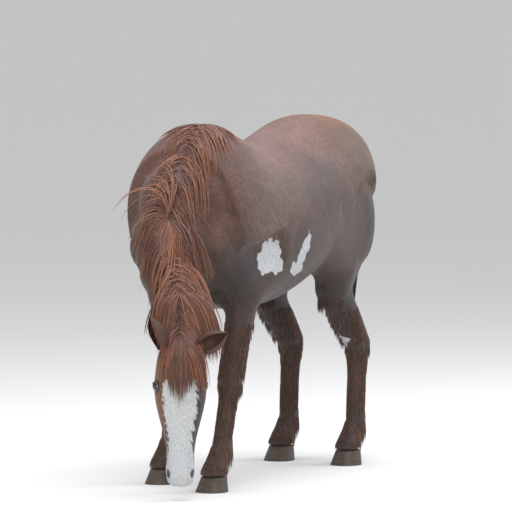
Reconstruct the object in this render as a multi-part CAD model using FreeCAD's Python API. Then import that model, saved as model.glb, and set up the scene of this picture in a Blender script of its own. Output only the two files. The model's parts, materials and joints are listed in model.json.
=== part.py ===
"""Life-size grazing horse as an articulated animal: bones, the muscle over them, hooves, eyes, ears and hair.

Row frame: +X towards the head, +Y the near (left) side, +Z up. The origin is on the ground, under the middle
of the animal's box. Every moving segment turns on a round joint head, and the segment above it carries the
matching cup. Lengths are in millimetres and angles in degrees. A pitch angle is measured in the XZ plane from
+X, and a positive one points up.
"""
import FreeCAD, Part
import math
import os
from FreeCAD import Vector

# ---- clearances ----
RUN = 0.8                    # between pieces that move on each other
SEAT = 0.4                   # between pieces that sit still on each other
SKIRT = 6.0                  # free space round a limb that swings in a pocket of the trunk

# ---- overall stance ----
SHOULDER_HEIGHT = 1010.0
HIP_HEIGHT = 1090.0
TRUNK_LENGTH = 1200.0        # hip joint to shoulder joint
LEG_SPREAD = 172.0           # centre plane of the legs from the middle
INNER_FACE = 106.0           # no leg comes nearer to the middle than this
STEP = {"near_fore": 65.0, "off_fore": -120.0, "near_hind": 40.0, "off_hind": 10.0}   # hoof ahead of its joint

# ---- legs ----
HUMERUS_LENGTH = 275.0
FOREARM_LENGTH = 405.0
FORE_CANNON_LENGTH = 265.0
FEMUR_LENGTH = 350.0
TIBIA_LENGTH = 360.0
HIND_CANNON_LENGTH = 325.0
HIND_CANNON_LEAN = 4.0       # hock behind the fetlock
PASTERN_LENGTH = 130.0
PASTERN_SLOPE = 56.0
HOOF_LENGTH = 142.0
HOOF_WIDTH = 132.0
HOOF_HEIGHT = 62.0
CORONET_SHARE = 0.80
HOOF_JOINT_HEIGHT = 84.0
HOOF_JOINT_BACK = 14.0
SHOULDER_BALL = 50.0
ELBOW_BALL = 50.0
KNEE_BALL = 46.0
FORE_FETLOCK_BALL = 33.0
HIP_BALL = 34.0
STIFLE_BALL = 62.0
HOCK_BALL = 46.0
HIND_FETLOCK_BALL = 34.0
HOOF_BALL = 28.0
THIGH_TOP = 165.0            # radius of the thigh round the hip joint
SHOULDER_FAN = 43.0          # the upper arm widens from its joint within this angle each way

# ---- joint travel ----
SHOULDER_RANGE = (-10.0, 20.0)
HIP_RANGE = (-24.0, 20.0)

# ---- neck and head ----
NECK_ROOT_AHEAD = 10.0
NECK_ROOT_ABOVE = 182.0
NECK_ROOT_BALL = 180.0
NECK_LOWER_LENGTH = 360.0
NECK_UPPER_LENGTH = 370.0
NECK_MIDDLE_BALL = 118.0
ATLAS_BALL = 60.0
NECK_FAN = 57.0              # the lower neck lies within this angle each way of its axis
NECK_TURN = 15.0             # to the near side, at the withers
NECK_BEND = 28.0             # more of the same, half way along
HEAD_TURN = 28.0             # the head itself, from the line of the back
NECK_ARCH = 8.0              # the upper half hangs this much steeper
NECK_LIFT = 62.0             # travel of the neck above the grazing pose
FACE_PITCH = -88.0
HEAD_LENGTH = 560.0          # first neck joint to the lips
THROAT_FAN = (81.0, 67.0)    # the head is cut back this far each side of the neck's axis
MUZZLE_CLEARANCE = 58.0
JAW_HINGE_ALONG = 95.0
JAW_HUB = 29.0
JAW_BEHIND = 8.0             # the jaw starts this far ahead of its hinge
JAW_ROOM = 30.0              # free space behind the hinge
EYE_ALONG = 146.0
EYE_OUT = 93.0
EYE_LIFT = 34.0
EYEBALL = 21.0
LID_WALL = 3.0
EAR_LENGTH = 150.0
EAR_BASE_BALL = 16.0
EAR_SPREAD = 66.0
EAR_ALONG = -6.0
EAR_LIFT = 53.0
EAR_SPLAY = {"near": 62.0, "off": 16.0}

# ---- hair and tail ----
MANE_DEPTH = 26.0
FORELOCK_LENGTH = 170.0
DOCK_LENGTH = 180.0
DOCK_BALL = 34.0
DOCK_PITCH = -100.0
TAIL_LENGTH = 640.0
TAIL_BALL = 26.0

# ---- trunk: share of the way from hip to shoulder, rise above and drop below that line, half width ----
TRUNK = [
    (-0.225, 146.0, 30.0, 76.0), (-0.180, 276.0, 120.0, 172.0), (-0.09, 384.0, 190.0, 244.0),
    (0.03, 432.0, 215.0, 280.0), (0.16, 430.0, 222.0, 290.0), (0.32, 384.0, 255.0, 304.0),
    (0.50, 372.0, 300.0, 322.0), (0.68, 400.0, 308.0, 322.0), (0.84, 480.0, 276.0, 304.0),
    (0.98, 452.0, 232.0, 276.0), (1.07, 356.0, 178.0, 226.0), (1.13, 244.0, 92.0, 150.0),
]
BLADE_LENGTH = 270.0
BLADE_PITCH = 122.0          # the shoulder blade leans back from its joint
BODY_WALL = 62.0
CAVITY = (0.30, 0.62)        # the body cavity's ends on the same scale
CAVITY_SIDES = 0.60          # share of the trunk's half width that the cavity may take
RIB_COUNT = 13
RIB_DEPTH = 13.0
RIB_WIDTH = 18.0
VERTEBRA_COUNT = 18
SPINE_PAST = 0.16            # the spine runs on past both ends of the cavity by this share
VERTEBRA_RADIUS = 24.0
PROCESS_WIDTH = 10.0
SUPER = 2.3                  # squareness of the trunk's sections

SIDES = {"near": 1.0, "off": -1.0}


# ---------------------------------------------------------------- small geometry helpers
def flat(x, z, y=0.0):
    """Point from its side-view place."""
    return Vector(x, y, z)


def heading(pitch, turn=0.0):
    """Unit vector at a pitch above the horizon and a turn to the near side of +X."""
    p, t = math.radians(pitch), math.radians(turn)
    return Vector(math.cos(p) * math.cos(t), math.cos(p) * math.sin(t), math.sin(p))


def crosswise(turn=0.0):
    """Unit vector to the near side of a part that is turned by this much."""
    t = math.radians(turn)
    return Vector(-math.sin(t), math.cos(t), 0.0)


def two_links(start, end, first, second, forward):
    """Middle joint of two straight links between start and end, bent forwards or backwards."""
    line = end - start
    reach = line.Length
    along = (first ** 2 - second ** 2 + reach ** 2) / (2 * reach)
    out = math.sqrt(max(first ** 2 - along ** 2, 0.0))
    unit = line.multiply(1 / reach)
    square = Vector(-unit.z, 0, unit.x)
    if (square.x > 0) != forward:
        square = square.negative()
    return start + unit * along + square * out


def ring(centre, across, deep, half_width, half_depth, power=2.0, points=16):
    """Closed smooth section through a superellipse."""
    through = []
    for i in range(points):
        a = 2 * math.pi * i / points
        c, s = math.cos(a), math.sin(a)
        u = math.copysign(abs(c) ** (2 / power), c) * half_width
        v = math.copysign(abs(s) ** (2 / power), s) * half_depth
        through.append(centre + across * u + deep * v)
    curve = Part.BSplineCurve()
    curve.interpolate(Points=through, PeriodicFlag=True)
    return Part.Wire([curve.toShape()])


def loft(rings):
    """Smooth closed solid through sections."""
    return Part.makeLoft(rings, True, False)


def ball(centre, radius):
    """Solid ball."""
    return Part.makeSphere(radius, centre)


def stood_along(solid, base, along):
    """Moves a solid made on +Z so that it stands at base and points along the given way."""
    turn = FreeCAD.Rotation(Vector(0, 0, 1), along)
    solid.Placement = FreeCAD.Placement(base, turn).multiply(solid.Placement)
    return solid


def turned(points, arcs):
    """Solid of revolution about +Z from (radius, z) points. arcs maps a point's index to the arc's middle point."""
    edges = []
    for i, (here, there) in enumerate(zip(points, points[1:] + points[:1])):
        a, b = Vector(here[0], 0, here[1]), Vector(there[0], 0, there[1])
        if i in arcs:
            m = Vector(arcs[i][0], 0, arcs[i][1])
            edges.append(Part.Arc(a, m, b).toShape())
        else:
            edges.append(Part.LineSegment(a, b).toShape())
    return Part.Face(Part.Wire(edges)).revolve(Vector(0, 0, 0), Vector(0, 0, 1), 360)


def half_space(origin, normal, size=3000.0):
    """Big block that fills the side of a plane that normal points to."""
    block = Part.makeBox(size, size, size, Vector(-size / 2, -size / 2, 0))
    return stood_along(block, origin, normal)


# ---------------------------------------------------------------- the joints' places
def leg_points(name, x_shift):
    """Joint centres of one leg from the trunk down, with its hoof's sole centre last."""
    side, end = name.split("_")
    y = SIDES[side] * LEG_SPREAD
    fore = end == "fore"
    top = flat(TRUNK_LENGTH, SHOULDER_HEIGHT) if fore else flat(0, HIP_HEIGHT)
    sole = flat(top.x + STEP[name], 0)
    coffin = sole + flat(-HOOF_JOINT_BACK, HOOF_JOINT_HEIGHT)
    slope = math.radians(PASTERN_SLOPE)
    fetlock = coffin + flat(-PASTERN_LENGTH * math.cos(slope), PASTERN_LENGTH * math.sin(slope))
    if fore:
        column = FOREARM_LENGTH + FORE_CANNON_LENGTH
        elbow = two_links(top, fetlock, HUMERUS_LENGTH, column, False)
        knee = elbow + (fetlock - elbow) * (FOREARM_LENGTH / column)
        joints = [top, elbow, knee]
    else:
        lean = math.radians(HIND_CANNON_LEAN)
        hock = fetlock + flat(-HIND_CANNON_LENGTH * math.sin(lean), HIND_CANNON_LENGTH * math.cos(lean))
        joints = [top, two_links(top, hock, FEMUR_LENGTH, TIBIA_LENGTH, True), hock]
    return [p + Vector(x_shift, y, 0) for p in joints + [fetlock, coffin, sole]]


def neck_points(x_shift):
    """Neck root, middle and atlas joints, the lips' end, and the pitch of the two halves of the neck."""
    root = flat(TRUNK_LENGTH + NECK_ROOT_AHEAD + x_shift, SHOULDER_HEIGHT + NECK_ROOT_ABOVE)
    head = HEAD_LENGTH * math.sin(math.radians(-FACE_PITCH))
    drop = root.z - MUZZLE_CLEARANCE - head
    arch = math.radians(NECK_ARCH)
    along = NECK_LOWER_LENGTH + NECK_UPPER_LENGTH * math.cos(arch)
    aside = NECK_UPPER_LENGTH * math.sin(arch)
    pitch = -math.degrees(math.asin(drop / math.hypot(along, aside)) - math.atan2(aside, along))
    middle = root + heading(pitch, NECK_TURN) * NECK_LOWER_LENGTH
    turn = NECK_TURN + NECK_BEND
    atlas = middle + heading(pitch - NECK_ARCH, turn) * NECK_UPPER_LENGTH
    lips = atlas + heading(FACE_PITCH, HEAD_TURN) * HEAD_LENGTH
    return root, middle, atlas, lips, pitch


def trunk_line(share, x_shift):
    """Point of the line from hip to shoulder, which the trunk's sections hang on."""
    height = HIP_HEIGHT + (SHOULDER_HEIGHT - HIP_HEIGHT) * share
    return flat(TRUNK_LENGTH * share + x_shift, height)


def tail_points(x_shift):
    """Root of the dock, its end, and the tip of the hair."""
    root = trunk_line(TRUNK[0][0], x_shift) + flat(-14.0, 118.0)
    end = root + heading(DOCK_PITCH) * DOCK_LENGTH
    return root, end, end + flat(0, -TAIL_LENGTH)


# ---------------------------------------------------------------- bones and muscle of a moving segment
def bone(start, end, head, shaft, cup, grow=0.0):
    """Long bone: a round head at start, a shaft, and a cup round the next bone's head at end.

    With grow it is the hollow that the bone sits in, which runs on to the far joint's centre.
    """
    length = (end - start).Length
    neck = 0.66 * head + grow
    r = head + grow
    hold = 0.70 * cup + grow
    reach = cup + RUN
    rim = length - math.sqrt(max(reach ** 2 - hold ** 2, 1.0))
    leave = math.sqrt(r ** 2 - neck ** 2)
    points = [(0, -r), (neck, leave), (shaft + grow, 0.30 * length), (shaft + grow, 0.66 * length), (hold, rim)]
    arcs = {0: (r, 0)}
    if grow:
        points += [(hold, length), (0, length)]
    else:
        half = math.asin(hold / reach) / 2
        arcs[len(points) - 1] = (reach * math.sin(half), length - reach * math.cos(half))
        points += [(0, length - reach)]
    return stood_along(turned(points, arcs), start, (end - start).normalize())


def muscle(start, end, across, stations, cup=0.0, hollow=(), power=2.0):
    """Sleeve of muscle and tendon between two joints.

    stations are (share of the length, half depth, half width, shift to the front, shift outwards).
    cup is the radius of the next head, which it stays clear of, hollow holds the spaces
    for its own bone.
    """
    line = end - start
    along = Vector(line).normalize()
    front = across.cross(along)
    if front.x < 0:
        front = front.negative()
    rings = []
    for share, deep, wide, shift, out in stations:
        centre = start + line * share + front * shift + across * out
        rings.append(ring(centre, across, front, wide, deep, power))
    solid = loft(rings)
    ends = [ball(end, cup + RUN)] if cup else []
    return carve(solid, list(hollow) + ends)


def biggest(shape):
    """The largest solid of a shape, which drops slivers that a cut leaves."""
    return max(shape.Solids, key=lambda s: s.Volume)


def carve(solid, tools):
    """Cuts tools out of a solid, as one or one after another, whichever leaves a sound solid of the right size."""
    if not tools:
        return biggest(solid)
    together = tools[0]
    for tool in tools[1:]:
        together = together.fuse(tool)
    kept = solid.Volume - solid.common(together).Volume
    for order in ([together], tools, tools[::-1]):
        left = solid
        for tool in order:
            left = biggest(left.cut(tool))
        if left.isValid() and abs(left.Volume - kept) < 0.008 * solid.Volume:
            return left
    raise RuntimeError("the cuts left no sound solid")


# ---------------------------------------------------------------- legs
def build_fore_leg(name, x_shift):
    """Upper arm, forearm, cannon, pastern and hoof of one foreleg, with their bones."""
    side = name.split("_")[0]
    out = SIDES[side]
    shoulder, elbow, knee, fetlock, coffin, sole = leg_points(name, x_shift)
    across = Vector(0, 1, 0)
    parts = {}
    humerus = (shoulder, elbow, SHOULDER_BALL, 24.0, ELBOW_BALL)
    radius = (elbow, knee, ELBOW_BALL, 23.0, KNEE_BALL)
    cannon = (knee, fetlock, KNEE_BALL, 17.0, FORE_FETLOCK_BALL)
    parts["humerus"] = bone(*humerus)
    parts["radius"] = bone(*radius)
    parts["cannon_bone"] = bone(*cannon)
    upper = [(0.20, 46, 46, 4, 0), (0.40, 70, 58, 4, 4 * out), (0.60, 82, 62, 0, 6 * out),
             (0.74, 70, 58, -8, 4 * out), (0.87, 44, 44, -6, 0)]
    parts["upper_arm"] = muscle(shoulder, elbow, across, upper, ELBOW_BALL, [bone(*humerus, SEAT)])
    fore = [(0.13, 44, 46, -14, 0), (0.25, 68, 58, -9, 4 * out), (0.40, 66, 56, -2, 3 * out),
            (0.62, 51, 46, 2, 0), (0.90, 42, 41, 0, 0)]
    parts["forearm"] = muscle(elbow, knee, across, fore, KNEE_BALL, [bone(*radius, SEAT)])
    shin = [(0.12, 40, 40, 0, 0), (0.32, 34, 30, -4, 0), (0.62, 32, 28, -6, 0), (0.90, 31, 30, -3, 0)]
    parts["cannon"] = muscle(knee, fetlock, across, shin, FORE_FETLOCK_BALL, [bone(*cannon, SEAT)])
    parts.update(build_foot(fetlock, coffin, sole, FORE_FETLOCK_BALL))
    return parts


def build_hind_leg(name, x_shift):
    """Thigh, gaskin, cannon, pastern and hoof of one hind leg, with their bones."""
    side = name.split("_")[0]
    out = SIDES[side]
    hip, stifle, hock, fetlock, coffin, sole = leg_points(name, x_shift)
    across = Vector(0, 1, 0)
    parts = {}
    femur = (hip, stifle, THIGH_TOP * 0.34, 27.0, STIFLE_BALL)
    tibia = (stifle, hock, STIFLE_BALL, 25.0, HOCK_BALL)
    cannon = (hock, fetlock, HOCK_BALL, 19.0, HIND_FETLOCK_BALL)
    inner = hip_head(hip, out)
    neck = Part.makeCylinder(HIP_BALL * 0.56, (hip - inner).Length, inner, hip - inner)
    parts["femur"] = bone(*femur).fuse([neck, ball(inner, HIP_BALL)]).removeSplitter()
    parts["tibia"] = bone(*tibia)
    parts["cannon_bone"] = bone(*cannon)
    wall = LEG_SPREAD - INNER_FACE
    haunch = [(-0.42, 74, wall * 0.55, -10, 4 * out), (-0.22, 138, wall * 0.86, -14, 8 * out),
              (0.0, THIGH_TOP, wall, -20, 10 * out), (0.30, 160, wall, -28, 12 * out),
              (0.55, 118, wall * 0.98, -14, 8 * out), (0.80, 72, wall * 0.88, -2, 0)]
    well = Part.makeCylinder(HIP_BALL * 0.56 + SEAT, (hip - inner).Length, inner, hip - inner)
    parts["thigh"] = muscle(hip, stifle, across, haunch, STIFLE_BALL, [bone(*femur, SEAT), well])
    gaskin = [(0.21, 50, 50, 3, 0), (0.34, 63, 56, -3, 2 * out), (0.52, 58, 48, -7, 0),
              (0.72, 45, 38, -6, 0), (0.91, 42, 38, -2, 0)]
    parts["gaskin"] = muscle(stifle, hock, across, gaskin, HOCK_BALL, [bone(*tibia, SEAT)])
    shin = [(0.10, 44, 39, -8, 0), (0.26, 40, 33, -8, 0), (0.60, 34, 29, -6, 0), (0.91, 32, 30, -2, 0)]
    parts["cannon"] = muscle(hock, fetlock, across, shin, HIND_FETLOCK_BALL, [bone(*cannon, SEAT)])
    parts.update(build_foot(fetlock, coffin, sole, HIND_FETLOCK_BALL))
    return parts


def hip_head(hip, out):
    """Centre of the femur's head, in its socket inside the trunk."""
    return hip + Vector(0, -out * (LEG_SPREAD - INNER_FACE + HIP_BALL + 6.0), 0)


def build_foot(fetlock, coffin, sole, fetlock_ball):
    """Pastern on its round head, and the hoof under it."""
    across = Vector(0, 1, 0)
    stations = [(0.02, 36, 33, -4, 0), (0.45, 29, 28, -2, 0), (0.84, 32, 32, 0, 0)]
    pastern = muscle(fetlock, coffin, across, stations).fuse(ball(fetlock, fetlock_ball))
    pastern = biggest(pastern.cut(ball(coffin, HOOF_BALL + RUN)).removeSplitter())
    along, up = Vector(1, 0, 0), Vector(0, 0, 1)
    lean = HOOF_HEIGHT / math.tan(math.radians(PASTERN_SLOPE)) / 2
    low = ring(sole, across, along, HOOF_WIDTH / 2, HOOF_LENGTH / 2, 2.2)
    high = ring(sole + up * HOOF_HEIGHT - along * lean, across, along, HOOF_WIDTH / 2 * CORONET_SHARE,
                HOOF_LENGTH / 2 * CORONET_SHARE, 2.0)
    hoof = loft([low, high]).fuse(ball(coffin, HOOF_BALL)).removeSplitter()
    return {"pastern": pastern, "hoof": biggest(hoof)}


# ---------------------------------------------------------------- trunk
def trunk_rings(x_shift):
    """Sections of the trunk."""
    rings = []
    for share, rise, drop, half in TRUNK:
        centre = trunk_line(share, x_shift) + flat(0, (rise - drop) / 2)
        rings.append(ring(centre, Vector(0, 1, 0), Vector(0, 0, 1), half, (rise + drop) / 2, SUPER))
    return rings


def cavity_rings(x_shift):
    """Sections of the body cavity."""
    rings = []
    for i in range(5):
        share = CAVITY[0] + (CAVITY[1] - CAVITY[0]) * i / 4
        rise, half_high, wide = cavity_section(share)
        centre = trunk_line(share, x_shift) + flat(0, rise)
        rings.append(ring(centre, Vector(0, 1, 0), Vector(0, 0, 1), wide, half_high, SUPER))
    return rings


def sector(centre, low, high, reach, y_from, y_to):
    """Slice of a disc about a joint, between two angles of the XZ plane and two places across."""
    slice_ = Part.makeCylinder(reach, y_to - y_from, Vector(0, 0, 0), Vector(0, 0, 1), high - low)
    slice_.rotate(Vector(0, 0, 0), Vector(0, 0, 1), low)
    slice_.rotate(Vector(0, 0, 0), Vector(1, 0, 0), 90)
    slice_.translate(Vector(centre.x, y_to, centre.z))
    return slice_


def limb_pockets(x_shift):
    """Space beside the trunk where the upper arms and thighs swing."""
    tools = []
    for name in STEP:
        side, end = name.split("_")
        out = SIDES[side]
        top, lower = leg_points(name, x_shift)[:2]
        wall = INNER_FACE - SKIRT
        y_from, y_to = (wall, wall + 400.0) if out > 0 else (-wall - 400.0, -wall)
        rest = math.degrees(math.atan2(lower.z - top.z, lower.x - top.x))
        if end == "fore":
            low, high = rest - SHOULDER_FAN + SHOULDER_RANGE[0], rest + SHOULDER_FAN + SHOULDER_RANGE[1]
            reach = HUMERUS_LENGTH + ELBOW_BALL + 26.0
            tools.append(sector(top, low, high, reach, y_from, y_to))
            tools.append(ball(top, SHOULDER_BALL + RUN))
            back = math.radians(rest + SHOULDER_RANGE[0])
            drop = 150.0
            edge = top.x + HUMERUS_LENGTH * math.cos(back) - 74.0 + drop * math.sin(math.radians(SHOULDER_RANGE[0]))
            tools.append(Part.makeBox(900, y_to - y_from, 900, Vector(edge, y_from, lower.z + 62.0 - 900)))
        else:
            reach = (lower - top).Length + STIFLE_BALL + 16.0
            edge = top.x + reach * math.cos(math.radians(rest + HIP_RANGE[1])) + SKIRT
            round_top = THIGH_TOP + 22.0 + SKIRT
            disc = Part.makeCylinder(round_top, y_to - y_from, Vector(top.x, y_from, top.z), Vector(0, 1, 0))
            block = Part.makeBox(900, y_to - y_from, 1000, Vector(edge - 900, y_from, top.z - 920))
            tools += [disc, block]
    return tools


def neck_pocket(x_shift):
    """Space in front of the trunk that the neck sweeps: a wedge about the neck's root."""
    root, _, _, _, pitch = neck_points(x_shift)
    return sector(root, pitch - NECK_FAN, 85.0, 900.0, -700.0, 700.0)


def build_trunk(x_shift):
    """Muscle and skin of the trunk, and the skeleton inside it."""
    root, _, _, _, _ = neck_points(x_shift)
    dock, dock_end, _ = tail_points(x_shift)
    parts = {}
    cavity = loft(cavity_rings(x_shift))
    body = loft(trunk_rings(x_shift)).cut(cavity)
    tools = limb_pockets(x_shift) + [neck_pocket(x_shift), ball(root, NECK_ROOT_BALL + RUN)]
    tools += [ball(dock, DOCK_BALL + RUN), sector(dock, -190.0, DOCK_PITCH + 58.0, 300.0, -44.0, 44.0)]
    shoulders = [leg_points(side + "_fore", x_shift)[0] for side in SIDES]
    for side, out in SIDES.items():
        head = hip_head(leg_points(side + "_hind", x_shift)[0], out)
        tools.append(ball(head, HIP_BALL + RUN))
        tools.append(Part.makeCylinder(HIP_BALL * 0.56 + RUN, 200, head, Vector(0, out, 0)))
    tools += [shoulder_blade(s, SEAT) for s in shoulders]
    shells = [shoulder_blade(s, 0.0) for s in shoulders]
    parts["shoulder_blades"] = Part.makeCompound(shells)
    parts["spine"], channel = build_spine(x_shift)
    parts["pelvis"], pelvis_space = build_pelvis(x_shift)
    parts["trunk"] = carve(body, tools + [channel, pelvis_space])
    parts["ribs"] = build_ribs(x_shift)
    return parts


def cavity_section(share, inset=0.0):
    """Height of the cavity's centre above the hip-shoulder line, its half height and its half width there."""
    for a, b in zip(TRUNK, TRUNK[1:]):
        if a[0] <= share <= b[0]:
            t = (share - a[0]) / (b[0] - a[0])
            rise, drop, half = (a[i] + (b[i] - a[i]) * t for i in (1, 2, 3))
            wide = half * CAVITY_SIDES + 40.0
            return (rise - drop) / 2, (rise + drop) / 2 - BODY_WALL - inset, wide - inset
    raise ValueError("the share is outside the trunk")


def build_spine(x_shift):
    """Row of vertebrae along the roof of the cavity, and the channel that they sit in."""
    low, high = CAVITY
    first, last = low - SPINE_PAST, high + SPINE_PAST
    pitch = TRUNK_LENGTH * (last - first) / VERTEBRA_COUNT
    solids, wells = [], []
    for i in range(VERTEBRA_COUNT):
        share = first + (last - first) * (i + 0.5) / VERTEBRA_COUNT
        rise, half_high, _ = cavity_section(min(max(share, low), high))
        centre = trunk_line(share, x_shift) + flat(0, rise + half_high - VERTEBRA_RADIUS * 0.4)
        length = pitch - SEAT
        start = centre - Vector(length / 2, 0, 0)
        for grow, group in ((0.0, solids), (SEAT, wells)):
            r = VERTEBRA_RADIUS + grow
            body = Part.makeCylinder(r, length + 4 * grow, start - Vector(2 * grow, 0, 0), Vector(1, 0, 0))
            tall = VERTEBRA_RADIUS + 34.0 + grow
            corner = start + Vector(length * 0.2 - grow, -PROCESS_WIDTH / 2 - grow, 0)
            fin = Part.makeBox(length * 0.6 + 2 * grow, PROCESS_WIDTH + 2 * grow, tall, corner)
            group.append(body.fuse(fin).removeSplitter())
    return Part.makeCompound(solids), wells[0].fuse(wells[1:])


def build_ribs(x_shift):
    """Flat hoops against the cavity's wall, open at the top where the spine runs."""
    low, high = CAVITY
    first, hoops = low + 0.02, []
    for i in range(RIB_COUNT):
        share = first + (high - 0.02 - first) * i / (RIB_COUNT - 1)
        line = trunk_line(share, x_shift)
        rings = []
        for inset in (6.0, 6.0 + RIB_DEPTH):
            rise, half_high, wide = cavity_section(share, inset)
            centre = line + flat(0, rise)
            rings.append(ring(centre, Vector(0, 1, 0), Vector(0, 0, 1), wide, half_high, SUPER))
        hoop = Part.Face(rings[0]).cut(Part.Face(rings[1])).extrude(Vector(RIB_WIDTH, 0, 0))
        rise, half_high, _ = cavity_section(share)
        top = line + flat(0, rise + half_high)
        slot = 2 * (VERTEBRA_RADIUS + SEAT)
        notch = Part.makeBox(80, slot, 140, Vector(line.x - 20, -slot / 2, top.z - 70))
        hoops += hoop.cut(notch).Solids
    return Part.makeCompound(hoops)


def build_pelvis(x_shift):
    """Hip bone: a cross bar between the two hip sockets and a stem up to the spine, and the hollow for it."""
    hips = {side: leg_points(side + "_hind", x_shift)[0] for side in SIDES}
    heads = {side: hip_head(hips[side], out) for side, out in SIDES.items()}
    made = []
    for grow in (0.0, SEAT):
        cup = HIP_BALL + 16.0 + grow
        shape = ball(heads["near"], cup).fuse(ball(heads["off"], cup))
        span = heads["near"].y - heads["off"].y
        shape = shape.fuse(Part.makeCylinder(26.0 + grow, span, heads["off"], Vector(0, 1, 0)))
        for side, out in SIDES.items():
            wing = heads[side] + Vector(-60.0, 0, 150.0)
            rod = wing - heads[side]
            shape = shape.fuse(Part.makeCylinder(20.0 + grow, rod.Length, heads[side], rod))
            shape = shape.fuse(ball(wing, 24.0 + grow))
            seat_bone = heads[side] + Vector(-120.0, 0, -20.0)
            rod = seat_bone - heads[side]
            shape = shape.fuse(Part.makeCylinder(18.0 + grow, rod.Length, heads[side], rod))
            shape = shape.fuse(ball(seat_bone, 24.0 + grow))
        for side, out in SIDES.items():
            shape = shape.cut(ball(heads[side], HIP_BALL + RUN))
            bore = Part.makeCylinder(HIP_BALL * 1.05, 200, heads[side] + Vector(0, out * 6.0, 0), Vector(0, out, 0))
            if not grow:
                shape = shape.cut(bore)
        made.append(biggest(shape.removeSplitter()))
    return made[0], made[1]


def shoulder_blade(shoulder, grow):
    """Flat bone that leans back from the shoulder joint, with a cup round the upper arm's head."""
    back = heading(BLADE_PITCH)
    front = Vector(back.z, 0, -back.x)
    rings = []
    for along, wide, thick in ((36.0, 34.0, 20.0), (110.0, 26.0, 11.0), (BLADE_LENGTH, 72.0, 8.0)):
        rings.append(ring(shoulder + back * along, Vector(0, 1, 0), front, thick + grow, wide + grow))
    solid = loft(rings)
    return solid if grow else biggest(solid.cut(ball(shoulder, SHOULDER_BALL + RUN)))


# ---------------------------------------------------------------- neck
def vertebrae(start, end, gap_start, gap_end, radius, count):
    """Row of spool-shaped neck vertebrae along the axis between two joints, and the hollow for them."""
    axis = Vector(end - start).normalize()
    length = (end - start).Length - gap_start - gap_end
    pitch = length / count
    solids = []
    for i in range(count):
        base = start + axis * (gap_start + i * pitch)
        tall = pitch - SEAT
        waist = radius * 0.72
        points = [(0, 0), (radius, 0), (radius, tall * 0.22), (waist, tall * 0.42), (waist, tall * 0.6),
                  (radius, tall * 0.8), (radius, tall), (0, tall)]
        solids.append(stood_along(turned(points, {}), base, axis))
    hollow = Part.makeCylinder(radius + SEAT, (end - start).Length, start, axis)
    return Part.makeCompound(solids), hollow


def neck_sections(start, end, turn, stations, grow=0.0):
    """Loft along a stretch of neck. stations are (share, half depth, half width, shift up)."""
    line = end - start
    along = Vector(line).normalize()
    across = crosswise(turn)
    up = along.cross(across)
    if up.z < 0:
        up = up.negative()
    rings = []
    for share, deep, wide, shift in stations:
        rings.append(ring(start + line * share + up * shift, across, up, wide + grow, deep + grow, 2.1))
    return loft(rings), across, up


LOWER_NECK = [(0.36, 142.0, 116.0, 0.0), (0.52, 140.0, 108.0, 4.0), (0.74, 124.0, 96.0, 4.0), (0.93, 100.0, 82.0, 2.0)]
UPPER_NECK = [(0.02, 108.0, 92.0, 0.0), (0.30, 110.0, 86.0, 4.0), (0.60, 94.0, 76.0, 4.0), (0.88, 62.0, 58.0, 2.0)]


def build_neck(x_shift):
    """Neck in four moving pieces: root, lower half, upper half and atlas, with vertebrae and mane."""
    root, middle, atlas, _, pitch = neck_points(x_shift)
    parts = {}
    parts["neck_root"] = ball(root, NECK_ROOT_BALL)
    lower_bones, lower_hollow = vertebrae(root, middle, NECK_ROOT_BALL + RUN, NECK_MIDDLE_BALL + RUN, 34.0, 1)
    upper_bones, upper_hollow = vertebrae(middle, atlas, 30.0, ATLAS_BALL + RUN, 30.0, 3)
    parts["lower_vertebrae"] = lower_bones
    parts["upper_vertebrae"] = upper_bones
    lower, across, up = neck_sections(root, middle, NECK_TURN, LOWER_NECK)
    cups = [ball(root, NECK_ROOT_BALL + RUN), ball(middle, NECK_MIDDLE_BALL + RUN)]
    parts["lower_neck"] = carve(lower, cups + [lower_hollow])
    turn = NECK_TURN + NECK_BEND
    upper, across_u, up_u = neck_sections(middle, atlas, turn, UPPER_NECK)
    upper = upper.fuse(ball(middle, NECK_MIDDLE_BALL)).cut(ball(atlas, ATLAS_BALL + RUN))
    nest = Part.makeCylinder(30.0 + SEAT, (atlas - middle).Length, middle + Vector(atlas - middle).normalize() * 30.0,
                             atlas - middle)
    parts["upper_neck"] = biggest(upper.cut(nest))
    parts["atlas"] = ball(atlas, ATLAS_BALL)
    parts["lower_mane"] = crest(root, middle, NECK_TURN, LOWER_NECK, (NECK_ROOT_BALL, NECK_MIDDLE_BALL), (0.40, 0.66))
    parts["upper_mane"] = crest(middle, atlas, turn, UPPER_NECK, (NECK_MIDDLE_BALL, ATLAS_BALL), (0.34, 0.53))
    return parts


def crest(start, end, turn, stations, balls, span):
    """Cap of hair that lies over the top of a stretch of neck."""
    inner, across, up = neck_sections(start, end, turn, stations, SEAT)
    outer, _, _ = neck_sections(start, end, turn, stations, MANE_DEPTH)
    along = Vector(end - start).normalize()
    line = end - start
    cap = outer.cut(inner)
    deep = stations[1][1]
    cap = cap.common(half_space(start + line * 0.5 + up * (deep * 0.45), up))
    cap = cap.common(half_space(start + line * span[0], along))
    cap = cap.common(half_space(start + line * span[1], along.negative()))
    return biggest(cap.cut(ball(start, balls[0] + 12.0)).cut(ball(end, balls[1] + 12.0)))


# ---------------------------------------------------------------- head
HEAD = [  # distance along, depth in front of the axis, depth behind it, half width
    (-52.0, 34.0, 20.0, 46.0), (-30.0, 66.0, 50.0, 76.0), (40.0, 92.0, 96.0, 96.0), (130.0, 98.0, 130.0, 108.0),
    (215.0, 90.0, 122.0, 102.0), (330.0, 74.0, 82.0, 74.0), (440.0, 63.0, 56.0, 58.0), (510.0, 57.0, 54.0, 60.0),
    (545.0, 42.0, 46.0, 50.0), (HEAD_LENGTH, 22.0, 30.0, 32.0),
]
JAW_LINE = ((JAW_HINGE_ALONG, -34.0), (HEAD_LENGTH, -6.0))   # along, in front of the axis


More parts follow.
